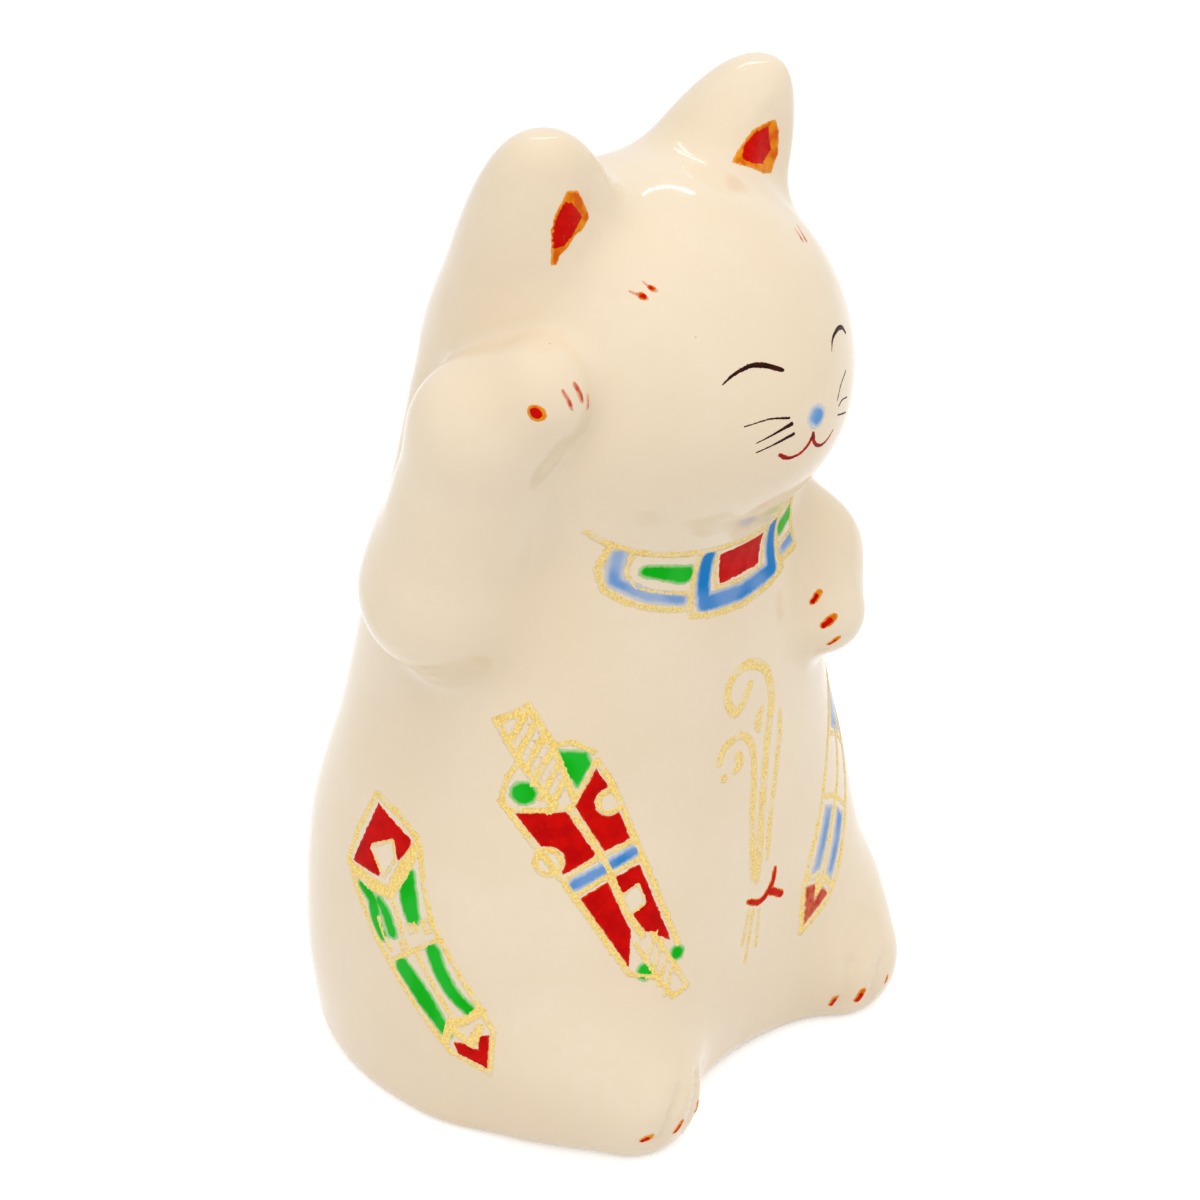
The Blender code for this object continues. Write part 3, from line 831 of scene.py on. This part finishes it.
def paint(name, sheet, shape, colour, step=0.25, lift=0.1, edge=0.35, rough=0.08,
          rough_size=1.4, seed=0.0):
    """Lay a thin closed body of paint over the shape, domed from its outline inwards."""
    low, high = shape.low - 2 * step, shape.high + 2 * step
    counts = np.ceil((high - low) / step).astype(int) + 1
    across, along = (low[i] + step * np.arange(counts[i]) for i in range(2))
    flat = np.stack(np.meshgrid(across, along, indexing="ij"), -1).reshape(-1, 2)

    def ragged(p):
        return (shape.distance(p) + rough * wobble(p, rough_size, seed)
                + 0.5 * rough * wobble(p, rough_size * 0.37, seed + 5))

    depth = ragged(flat)
    number = np.arange(len(flat)).reshape(counts)
    cells = np.stack([number[:-1, :-1], number[1:, :-1], number[1:, 1:], number[:-1, 1:]], -1)
    cells = cells.reshape(-1, 4)
    cells = cells[(depth[cells] < 0).any(1)]
    outside = np.unique(cells[depth[cells] >= 0])
    moved = flat[outside]
    for _ in range(3):
        value = ragged(moved)
        grade = np.stack([(ragged(moved + d) - ragged(moved - d)) / 0.1
                          for d in ((0.05, 0.0), (0.0, 0.05))], 1)
        shift = -grade * (value / np.maximum((grade**2).sum(1), 0.2))[:, None]
        size = np.linalg.norm(shift, axis=1, keepdims=True)
        moved = moved + shift * np.minimum(1, 0.5 * step / np.maximum(size, 1e-9))
    flat[outside] = flat[outside] + np.clip(moved - flat[outside], -0.7 * step, 0.7 * step)
    depth[outside] = 0.0
    kept, cells = compact(cells)
    landed, normal, missed = sheet.press(flat[kept])
    shown, cells = compact(cells[~missed[cells].any(1)])
    landed, normal, inset = landed[shown], normal[shown], -depth[kept][shown]
    dome = np.clip(inset / edge, 0, 1)
    height = lift * np.sin(dome * math.pi / 2) + 0.01
    top = landed + normal * height[:, None]
    bottom = landed - normal * PAINT_ROOT
    count = len(top)
    cells = cells.tolist()
    sides = dict.fromkeys(side for quad in cells for side in zip(quad, quad[1:] + quad[:1]))
    rim = [(a, b) for a, b in sides if (b, a) not in sides]
    faces = cells + [[c + count for c in quad[::-1]] for quad in cells]
    faces += [[b, a, a + count, b + count] for a, b in rim]
    mesh = make_mesh(name, np.vstack([top, bottom]), faces,
                     {"inset": np.concatenate([inset, inset])})
    material, slot = colour
    add_piece(name, mesh, slot, material)


red = enamel("red_enamel", "enamel_red", (194, 0, 0), (216, 4, 0), (224, 78, 16), 2.5, 0.18,
             0.3)
orange = enamel("orange_enamel", "enamel_red", (222, 96, 0), (240, 150, 10), (240, 160, 60), 1.6,
                0.3, 0.3)
green = enamel("green_enamel", "enamel_green", (0, 184, 14), (30, 194, 44), (184, 218, 158), 5.0,
               0.6, 0.14, brushed=False)
blue = enamel("blue_enamel", "enamel_blue", (16, 130, 205), (112, 158, 218), (196, 206, 222),
              5.0, 0.7, 0.14, brushed=False)
dark = enamel("dark_line", "enamel_dark", (28, 10, 6), (64, 22, 12), (96, 40, 24), 1.2, 0.06, 0.3)
mouth_red = enamel("mouth_red", "enamel_red", (120, 16, 6), (190, 30, 12), (206, 90, 50), 1.6,
                   0.08, 0.3)
brow_red = enamel("washed_red", "enamel_red", (198, 62, 38), (218, 108, 76), (238, 182, 150),
                  1.2, 0.3, 0.24)
ear_red = enamel("grained_red", "enamel_red", (200, 2, 0), (214, 12, 0), (232, 126, 10), 1.5,
                 0.25, 0.3)
pale_blue = enamel("pale_blue_enamel", "enamel_blue", (116, 160, 218), (158, 182, 220),
                   (212, 212, 214), 4.0, 0.9, 0.14, brushed=False)
nose_blue = enamel("soft_blue", "enamel_blue", (104, 158, 216), (128, 172, 222), (220, 218, 214),
                   2.0, 0.9, 0.14, brushed=False)
gold = gilding("matt_gilding", (228, 188, 92), (252, 226, 140), 0.35)
thin_gold = gilding("thin_gilding", (224, 188, 106), (248, 222, 148), 0.25)

front = Sheet((0.0, -30.0, 0.0), (0.0, -1.0, 0.0))

# Face: closed eyes, mouth, nose, whiskers and brow marks
right_eye = line((-13.3, 116.5), (-11.3, 117.7), (-8.9, 118.3), (-7.1, 118.0), (-4.6, 116.9),
                 width=(0.25, 0.4, 0.7, 0.65), ends=(0.5, 0.8))
left_eye = line((5.9, 116.3), (7.1, 117.5), (9.3, 117.9), (11.0, 117.5), (11.9, 116.5),
                width=(0.25, 0.4, 0.6, 0.5), ends=(0.5, 0.7))
paint("eye_lines", front, right_eye | left_eye, dark, step=0.15, lift=0.05, edge=0.15, rough=0.03)
mouth = line((-6.4, 105.7), (-4.9, 104.8), (-2.8, 105.0), (-1.4, 106.2), (-0.9, 107.4),
             width=(0.75, 0.45, 0.5, 0.65), ends=0.6)
mouth |= line((-0.9, 107.4), (-0.4, 105.8), (1.0, 104.8), (2.6, 104.9), (4.2, 106.1),
              width=(0.6, 0.5, 0.3), ends=(0.8, 0.4))
paint("mouth_line", front, mouth, mouth_red, step=0.14, lift=0.05, edge=0.15, rough=0.04,
      rough_size=0.8)
paint("nose", front, dab((-0.2, 109.6), 1.85, 0.9), nose_blue, step=0.2, lift=0.04, edge=0.8,
      rough=0.1)
whiskers = strokes(
    ((0.34, 0.2, 0.16), (-5.1, 110.7), (-8.0, 111.2), (-11.4, 110.8)),
    ((0.6, 0.38, 0.2, 0.16), (-4.8, 109.8), (-6.3, 109.4), (-9.9, 108.2)),
    ((0.48, 0.36, 0.2, 0.16), (-4.5, 108.3), (-6.1, 107.9), (-9.8, 106.8)),
    (0.18, (5.0, 110.0), (6.6, 111.6), (8.9, 112.6)),
    (0.2, (5.4, 109.0), (6.6, 109.4), (8.6, 109.0)), (0.22, (5.2, 107.8), (8.4, 106.8)))
paint("whiskers", front, whiskers, dark, step=0.11, lift=0.03, edge=0.1, rough=0.02)
brows = strokes(
    ((0.35, 0.9), (-17.8, 127.8), (-17.0, 127.2)), ((0.35, 0.75), (-16.0, 128.8), (-15.6, 128.0)),
    ((0.3, 0.7), (11.6, 129.3), (11.2, 128.1)), ((0.3, 0.7), (13.1, 129.0), (12.3, 127.7)),
    ends=(0.5, 0.9))
paint("brow_marks", front, brows, brow_red, step=0.15, lift=0.04, edge=0.2, rough=0.06)

brow_dabs = dab((-17.05, 127.25), 0.5, 0.8, 30.0) | dab((-15.65, 128.1), 0.36)
paint("brow_dabs", front, brow_dabs, ear_red, step=0.12, lift=0.06, edge=0.2, rough=0.05)

# Inner ears: orange washed round a red core
right_inner = area((-22.9, 141.3), (-21.0, 140.9), (-18.7, 137.3), (-18.5, 136.4),
                   (-19.8, 135.3), (-21.5, 135.0), (-23.5, 132.6), (-23.9, 131.3),
                   (-24.4, 131.2), (-24.7, 136.0), (-24.4, 138.3))
left_inner = area((19.3, 140.4), (20.1, 138.4), (20.1, 135.1), (18.1, 133.2), (15.4, 133.9),
                  (13.3, 135.2), (10.6, 136.4), (12.2, 137.5), (15.0, 139.9), (17.2, 140.4))
paint("inner_ear_orange", front, right_inner | left_inner, orange, step=0.2, lift=0.08,
      rough=0.05)
right_core = area((-23.3, 139.9), (-22.3, 139.7), (-20.1, 137.1), (-21.1, 136.1),
                  (-23.2, 133.9), (-24.3, 133.7), (-24.5, 136.0), (-24.2, 138.0),
                  round_by=0.2)
left_core = area((17.8, 139.8), (18.6, 136.2), (16.2, 134.9), (13.4, 135.8), (12.2, 136.6),
                 (13.4, 138.2), (15.4, 139.6), round_by=0.2)
paint("inner_ear_red", front, right_core | left_core, ear_red, step=0.2, lift=0.12,
      rough_size=0.8)

# Claws, as (middle, direction of the stroke, length, width)
RAISED_CLAWS = (
    ((-31.2, -22.4, 117.2), (0.9, -0.9, -2.7), 2.9, 0.65),
    ((-29.3, -22.5, 117.7), (0.7, -0.8, -2.5), 2.7, 0.9),
    ((-27.8, -22.8, 116.0), (-0.2, -0.1, -1.8), 1.8, 0.55),
)
FOLDED_CLAWS = (
    ((14.4, -28.4, 73.5), (0.9, -0.4, 1.2), 2.0, 1.1),
    ((14.6, -30.7, 70.3), (1.3, -0.6, 1.0), 2.2, 1.4),
    ((15.5, -31.1, 66.9), (1.1, -0.8, 1.2), 1.9, 0.8),
)
FOOT_CLAWS = (
    ((-29.3, -35.1, 5.7), (0.8, -0.3, 0.4), 1.5, 1.2),
    ((-24.3, -36.5, 6.0), (0.8, 0.0, 1.0), 1.8, 1.1),
    ((-19.2, -35.8, 6.2), (0.8, 0.0, 1.0), 1.5, 0.8),
    ((16.1, -33.4, 5.1), (0.2, -0.2, 1.0), 1.7, 1.3),
    ((19.3, -35.9, 5.7), (0.4, 0.0, 1.0), 2.2, 1.4),
    ((24.4, -36.6, 6.7), (0.4, 0.0, 1.0), 1.1, 0.7),
)


def claw(name, place, way, length, width, under, tip_material):
    """A short stroke, red over its lower half."""
    sheet = sheet_on(place)
    flat = np.array((np.dot(way, sheet.right), np.dot(way, sheet.up)))
    flat = flat / np.linalg.norm(flat) * length / 2
    body = line(-flat, flat * 0.2, flat, width=(0.75 * width, width, 0.8 * width), ends=0.8)
    paint(name, sheet, body, under, step=0.16, lift=0.07, edge=0.2, rough=0.06)
    if tip_material is not None:
        tip = line(-flat * 0.8, flat * 0.3, width=0.8 * width, ends=0.9)
        paint(name + "_tip", sheet, tip, tip_material, step=0.16, edge=0.2, rough=0.06)


for number, stroke in enumerate(RAISED_CLAWS, 1):
    claw(f"raised_claw_{number}", *stroke, brow_red, None)
paw_mark = sheet_on((-34.8, -20.3, 115.9))
paint("paw_mark", paw_mark, dab((0.0, 0.0), 1.05, 1.25, 55.0), orange, step=0.16, lift=0.07,
      rough=0.04)
paint("paw_mark_red", paw_mark, dab((-0.1, 0.05), 0.85, 1.25, 55.0), red, step=0.16, rough=0.04)
for number, stroke in enumerate(FOLDED_CLAWS, 1):
    claw(f"folded_claw_{number}", *stroke, orange, red)
for number, stroke in enumerate(FOOT_CLAWS, 1):
    claw(f"foot_claw_{number}", *stroke, orange, red)

# Collar
COLLAR_TOP = ((-23.0, 94.0), (-20.6, 92.0), (-17.0, 90.2), (-12.0, 88.9), (-6.2, 88.1),
              (0.0, 87.6))
COLLAR_END = area((-30.0, 70.0), (13.9, 70.0), (14.3, 100.0), (-30.0, 100.0))


def whole_collar(half):
    """Both halves of the collar, up to the crease under the resting arm."""
    return mirrored(half) & COLLAR_END


collar_gold = line(*COLLAR_TOP, width=0.9, ends=(0.6, 1.0))
collar_gold |= strokes(
    (0.9, (-20.3, 91.6), (-21.2, 88.0), (-20.8, 84.8)),
    (1.0, (-20.8, 84.8), (-18.2, 82.7), (-14.2, 81.0), (-10.0, 80.0)),
    (0.9, (-8.3, 88.2), (-9.0, 83.5), (-9.9, 78.9)),
    (1.0, (-9.9, 78.9), (-5.4, 77.9), (0.0, 77.4)),
    (0.6, (-17.9, 89.6), (-18.2, 87.0), (-17.2, 84.7)),
    (0.6, (-17.2, 84.7), (-13.6, 83.2), (-10.0, 82.2)), (0.6, (-5.4, 86.9), (-5.0, 81.4)),
    (0.6, (-5.0, 81.4), (0.0, 80.9)))
collar_gold = whole_collar(collar_gold) | line((14.0, 89.2), (13.6, 81.4), width=0.9)
paint("collar_gilding", front, collar_gold, thin_gold, lift=0.16, edge=0.3, rough=0.12,
      rough_size=0.9)
collar_blue = line((-19.4, 90.4), (-19.6, 86.0), (-16.0, 83.3), (-11.0, 81.5), width=2.2,
                   smooth=False)
paint("collar_pale_blue", front, whole_collar(collar_blue), pale_blue, step=0.3, edge=0.5)
corner_blue = line((-7.0, 87.0), (-7.4, 79.9), (0.0, 79.2), width=2.8, smooth=False)
paint("collar_blue", front, whole_collar(corner_blue), blue, step=0.3, edge=0.5)
collar_green = line((-15.8, 87.0), (-10.4, 85.2), width=(2.2, 3.2))
paint("collar_green", front, whole_collar(collar_green), green, step=0.3, edge=0.8)
collar_red = area((-4.6, 86.7), (-4.2, 81.8), (4.2, 81.8), (4.6, 86.7))
paint("collar_red", front, collar_red, red, step=0.3)

# Sprig of bracken on the chest, tied with red
sprig = strokes(
    (1.6, (0.5, 64.7), (-1.4, 62.3), (-3.0, 61.7), (-4.3, 63.5), (-4.3, 65.7), (-2.5, 67.7),
     (1.0, 67.8), (4.2, 65.4), (5.3, 61.0), (4.6, 56.6), (2.9, 48.6), (1.3, 40.5), (0.1, 33.3)),
    (1.3, (-6.4, 54.8), (-5.6, 56.6), (-4.2, 57.3), (-1.6, 57.5), (0.4, 55.2), (0.9, 51.2),
     (-0.3, 43.0), (-0.9, 34.2)), ends=0.8)
sprig |= strokes(
    (1.6, (-2.8, 55.0), (-2.0, 53.6), (-2.8, 52.8), (-3.6, 52.6)),
    (1.05, (7.4, 57.9), (7.1, 53.6), (5.4, 47.5), (3.5, 41.2), (2.6, 35.8)),
    (1.1, (-1.9, 29.1), (-3.4, 24.0)), (1.1, (-0.8, 28.8), (-2.7, 20.6)),
    (1.1, (0.5, 28.0), (-0.1, 22.2)), ends=0.6)
sprig |= line((3.0, 60.2), (1.9, 58.4), (2.3, 56.6), width=1.4, ends=0.5)
sprig |= dab((-5.6, 52.2), 0.7)
paint("bracken_gilding", front, sprig, thin_gold, step=0.22, edge=0.3, rough=0.1, rough_size=0.8)
tie = strokes(
    (1.1, (4.3, 33.4), (3.9, 31.8), (2.6, 30.3), (0.8, 29.4), (-2.0, 30.6)),
    (1.3, (2.6, 30.4), (4.2, 29.4), (5.8, 28.4)), ends=0.7)
paint("bracken_tie", front, tie, ear_red, step=0.2)

# Brocade panels: gold frames round fields of enamel


def lattice(left, right, low, high, pitch, width):
    """Slanting gold hatching between two sides of a band that runs up the sheet."""
    rungs = []
    base = low
    while base < high:
        rungs.append((width, (left, base), (right, base + pitch * 1.6)))
        base += pitch
    return strokes(*rungs, smooth=False)


def front_panel(name, sheet):
    """Hatched tab, green spots, four red fields split by a gold stem and a blue band."""
    gilt = strokes(
        (1.1, (-2.3, 24.2), (2.4, 24.6)), (1.1, (-2.3, 24.2), (-1.9, 17.0), (-0.6, 9.8)),
        (1.1, (2.4, 24.6), (2.9, 18.0), (2.2, 9.6)),
        (0.7, (-1.9, 18.0), (-4.6, 16.2), (-6.9, 13.4)),
        (0.95, (-6.9, 13.4), (-5.4, 5.0), (-4.2, -2.0), (-2.2, -17.6)),
        (0.8, (2.9, 18.2), (5.4, 17.6), (7.5, 14.9)),
        (0.95, (7.3, 13.6), (7.8, 9.5), (7.3, 0.0), (6.1, -18.4)),
        (0.8, (-6.4, 11.9), (-2.6, 10.2), (1.0, 9.0), (3.6, 10.6), (6.8, 13.4)),
        (1.15, (1.0, 9.0), (2.0, 0.0), (1.5, -8.0), (2.0, -13.6)),
        (0.75, (-4.0, -0.2), (1.6, 0.3), (6.8, -0.2)),
        (0.75, (-3.7, -3.1), (1.6, -2.8), (6.7, -3.1)),
        (0.8, (0.6, -14.2), (1.0, -19.0), (1.9, -25.0)),
        (0.8, (3.4, -14.2), (4.1, -19.0), (4.6, -25.4)), (0.8, (1.9, -25.0), (4.6, -25.4)),
        (0.8, (-2.2, -17.6), (0.8, -20.4)))
    gilt |= lattice(-1.9, 2.6, 9.6, 22.0, 2.3, 1.0) | lattice(0.9, 4.2, -24.0, -16.0, 2.1, 0.6)
    left_notch, right_notch = (-5.0, 3.0), (6.3, 7.0)
    gilt |= dab(left_notch, 2.2) - dab(left_notch, 1.35)
    gilt |= dab(right_notch, 2.0) - dab(right_notch, 1.2)
    window = ((1.9, -9.6), (4.3, -9.4), (4.6, -6.6), (2.1, -6.8))
    gilt |= area(*window, round_by=0.45) - area(*window)
    paint(name + "_gilding", sheet, gilt, gold, lift=0.18, rough=0.13, rough_size=0.9)
    reds = area((-6.0, 11.2), (0.4, 8.6), (1.3, 0.8), (-4.0, 0.4)) - dab(left_notch, 2.3)
    reds |= area((1.8, 8.8), (6.7, 12.4), (7.1, 9.5), (6.7, 0.4), (2.6, 0.7)) - dab(
        right_notch, 2.1)
    reds |= area((-3.4, -3.8), (1.0, -3.6), (0.8, -12.2), (-1.8, -16.8))
    reds |= area((2.2, -3.6), (6.2, -3.8), (5.4, -17.2), (2.6, -13.2), (2.1, -10.4)) - area(
        *window, round_by=0.3)
    paint(name + "_red", sheet, reds, red, seed=1.0)
    greens = area((3.2, 17.2), (6.4, 15.4), (6.4, 13.6), (3.4, 11.4), (2.9, 13.6),
                  round_by=0.4)
    greens |= dab((-3.6, 13.4), 1.9) | dab((5.4, -19.6), 1.3) | dab((0.0, -18.8), 1.5)
    paint(name + "_green", sheet, greens, green, edge=0.8)
    band = line((-3.2, -1.6), (6.2, -1.6), width=2.1)
    paint(name + "_blue", sheet, band, blue, edge=0.8)


def haunch_panel(name, sheet):
    """Red tip with a window, green leaves, long green strokes and a red foot."""
    gilt = strokes(
        (0.95, (-0.1, 20.9), (-6.0, 17.2), (-9.9, 13.6)),
        (1.0, (-0.1, 20.9), (3.4, 17.0), (6.0, 12.4)),
        ((1.2, 2.4, 1.8), (-9.6, 12.8), (-6.4, 9.6), (-2.7, 6.9)),
        ((1.8, 2.8, 1.4), (-2.7, 6.9), (1.4, 9.2), (5.4, 12.0)),
        (1.3, (-1.8, -14.6), (-0.4, -17.4), (2.4, -15.6)),
        (0.8, (-4.2, -17.6), (0.2, -22.2), (4.0, -16.8)), smooth=False)
    gilt |= strokes(
        (0.95, (-9.9, 13.6), (-9.4, 8.0), (-8.4, 0.0), (-4.2, -17.6)),
        (0.95, (6.0, 12.4), (4.5, 6.0), (3.7, 0.6), (4.1, -8.0), (4.0, -16.8)),
        (0.8, (-2.7, 6.6), (-2.5, 4.0), (-3.0, 0.8)),
        (0.8, (-6.7, 4.4), (-6.9, 2.0), (-6.6, -0.6)),
        (0.7, (-7.6, -2.2), (-3.6, -2.0), (3.8, -1.6)),
        (0.75, (-1.6, -2.0), (-1.2, -8.0), (-0.8, -13.6)),
        (1.4, (-3.9, -15.4), (-1.6, -13.4), (0.4, -13.8), (4.0, -13.2)))
    window = ((-3.5, 13.9), (0.7, 13.5), (0.3, 11.3), (-2.7, 9.8))
    gilt = (gilt | area(*window, round_by=0.6)) - area(*window)
    for corners in ((-1.6, 0.4, 0.6, 2.0), (1.4, -0.4, 3.5, 1.8), (-4.4, -1.6, -2.4, 0.0)):
        gilt |= box(*corners) - box(*corners, inset=0.6)
    paint(name + "_gilding", sheet, gilt, gold, lift=0.18, rough=0.13, rough_size=0.9, seed=2.0)
    reds = area((-0.2, 19.5), (4.6, 12.7), (3.4, 11.4), (-4.0, 9.8), (-8.8, 13.3)) - area(
        *window, round_by=0.5)
    reds |= area((-2.9, -16.2), (-1.2, -17.0), (0.2, -18.6), (1.6, -16.6), (3.2, -17.0),
                 (0.2, -21.4), (-3.4, -18.0))
    paint(name + "_red", sheet, reds, red, seed=3.0)
    greens = strokes(
        ((1.8, 2.8, 2.2), (-8.2, 9.6), (-6.8, 7.0), (-7.4, 4.0), (-7.2, 1.6)),
        ((1.8, 2.4, 2.4), (-5.4, 6.6), (-4.8, 4.6), (-4.9, 1.6)),
        ((2.2, 4.0, 3.4), (2.6, 8.2), (1.2, 6.2), (0.6, 4.2), (0.4, 2.8)),
        ((3.4, 3.6, 2.2), (-5.4, -3.6), (-4.4, -7.0), (-3.6, -11.0), (-3.2, -14.6)),
        ((3.0, 2.8, 2.4), (1.6, -3.0), (1.2, -6.0), (1.4, -9.6), (2.4, -12.6)))
    paint(name + "_green", sheet, greens, green, edge=0.8)


def chest_panel(name, sheet):
    """Bare and pale blue fields in fine frames over blue fields and a red tip."""
    gilt = strokes(
        (0.85, (0.0, -21.0), (-3.4, -14.0), (-4.2, -6.0), (-4.6, 4.0), (-3.6, 15.0), (0.0, 22.0)),
        (0.85, (0.0, -21.0), (3.2, -15.0), (4.4, -6.0), (5.0, 4.0), (3.8, 15.0), (0.0, 22.0)),
        (0.7, (0.2, -12.6), (0.0, -4.0), (0.6, 4.0), (0.0, 12.0)),
        (0.7, (-4.6, -1.0), (0.2, -0.2), (4.8, -1.2)), (0.7, (-4.4, 8.6), (0.3, 9.2), (4.6, 8.4)))
    gilt |= line((-3.6, -13.4), (-1.0, -12.4), (0.2, -15.0), (1.2, -12.4), (3.6, -13.6),
                 width=0.8, smooth=False)
    paint(name + "_gilding", sheet, gilt, gold, lift=0.16, rough=0.13, rough_size=0.9, seed=4.0)
    paint(name + "_red", sheet,
          area((-2.9, -14.4), (-0.8, -13.6), (0.2, -16.0), (1.0, -13.6), (2.9, -14.6), (0.0, -20.0)),
          brow_red, seed=5.0)
    blues = area((-3.2, -2.0), (-0.6, -1.6), (-0.6, -11.4), (-2.6, -12.6))
    blues |= area((1.0, -1.6), (3.8, -2.2), (2.8, -12.6), (1.0, -11.6))
    blues |= area((-3.0, 9.8), (3.2, 9.6), (2.6, 15.0), (0.0, 20.0), (-2.6, 15.0))
    paint(name + "_blue", sheet, blues, pale_blue, edge=0.8)


front_panel("right_front_panel", sheet_at(-140.4, 45.7, -22.8))
haunch_panel("right_haunch_panel", sheet_at(-176.6, 32.0, -35.7))
chest_panel("left_front_panel", sheet_at(-52.0, 37.2, 36.0))
haunch_panel("left_haunch_panel", sheet_at(-3.4, 32.0, 35.7))

# -------------------- floor, light and camera

bpy.context.scene.view_settings.view_transform = "Standard"

CAMERA_AIM = Vector((-0.2, 0.0, 68.8)) * MM
CAMERA_AZIMUTH = math.radians(-48.0)
CAMERA_ELEVATION = math.radians(27.3)
CAMERA_DISTANCE = 450.0 * MM
CAMERA_LENS = 3080.0 / 1200.0 * 36.0

back = Vector((
    math.sin(CAMERA_AZIMUTH) * math.cos(CAMERA_ELEVATION),
    -math.cos(CAMERA_AZIMUTH) * math.cos(CAMERA_ELEVATION),
    math.sin(CAMERA_ELEVATION),
))
camera_data = bpy.data.cameras.new("camera")
camera_data.lens = CAMERA_LENS
camera_data.sensor_width = 36.0
camera = bpy.data.objects.new("camera", camera_data)
camera.location = CAMERA_AIM + back * CAMERA_DISTANCE
camera.rotation_euler = (-back).to_track_quat("-Z", "Y").to_euler()
bpy.context.scene.collection.objects.link(camera)
bpy.context.scene.camera = camera


def level_when_seen(tree, otherwise, seen):
    """A level for rays that show the background itself, straight or in gloss or glass."""
    path = add_node(tree, "ShaderNodeLightPath").outputs
    total = path["Is Camera Ray"]
    for name in ("Is Glossy Ray", "Is Transmission Ray"):
        either = {0: total, 1: path[name]}
        total = add_node(tree, "ShaderNodeMath", either, operation="MAXIMUM").outputs[0]
    inputs = {"Value": total, "To Min": otherwise, "To Max": seen}
    return add_node(tree, "ShaderNodeMapRange", inputs).outputs[0]


def make_world(ambient):
    world = bpy.data.worlds.new("studio")
    world.use_nodes = True
    background = world.node_tree.nodes["Background"]
    put(background.inputs["Color"], (1.0, 1.0, 1.0, 1.0))
    put(background.inputs["Strength"], level_when_seen(world.node_tree, ambient, 1.0))
    bpy.context.scene.world = world


def make_floor(side, tone, glow):
    """A white floor that keeps the figurine's soft shadow."""
    points = np.array(((-1, -1, 0), (1, -1, 0), (1, 1, 0), (-1, 1, 0)), float) * side / MM
    points[:, 2] = -0.02
    floor = bpy.data.objects.new("floor", make_mesh("floor", points, [(0, 1, 2, 3)]))
    bpy.context.scene.collection.objects.link(floor)
    material = bpy.data.materials.new("floor_paper")
    material.use_nodes = True
    looks = {
        "Base Color": (tone, tone, tone, 1.0),
        "Roughness": 0.9,
        "Specular IOR Level": 0.0,
        "Emission Color": (1.0, 1.0, 1.0, 1.0),
        "Emission Strength": level_when_seen(material.node_tree, 0.0, glow),
    }
    for key, value in looks.items():
        put(material.node_tree.nodes["Principled BSDF"].inputs[key], value)
    floor.data.materials.append(material)


def add_lamp(name, place, side, height, power, gleams):
    """A soft lamp; one that doesn't gleam lights the glaze without a highlight of its own."""
    data = bpy.data.lights.new(name, "AREA")
    data.shape = "RECTANGLE"
    data.size = side
    data.size_y = height
    data.energy = power
    lamp = bpy.data.objects.new(name, data)
    lamp.location = place
    lamp.visible_glossy = gleams
    lamp.visible_camera = False
    lamp.rotation_euler = (LAMP_AIM - Vector(place)).to_track_quat("-Z", "Y").to_euler()
    bpy.context.scene.collection.objects.link(lamp)


make_world(ambient=0.55)
make_floor(side=3.0, tone=0.80, glow=0.52)
LAMP_AIM = Vector((0.0, 0.0, 0.08))
add_lamp("overhead_softbox", (-0.25, -0.35, 1.15), 1.3, 1.3, 6.7, gleams=False)
add_lamp("side_softbox", (-0.80, -0.10, 0.45), 0.8, 0.8, 1.0, gleams=False)
add_lamp("far_softbox", (0.70, -0.55, 0.40), 0.7, 0.7, 0.8, gleams=False)
add_lamp("back_tube", (0.28, 0.36, 0.74), 0.30, 0.03, 0.25, gleams=True)
add_lamp("far_tube", (0.44, 0.30, 0.66), 0.30, 0.03, 0.25, gleams=True)
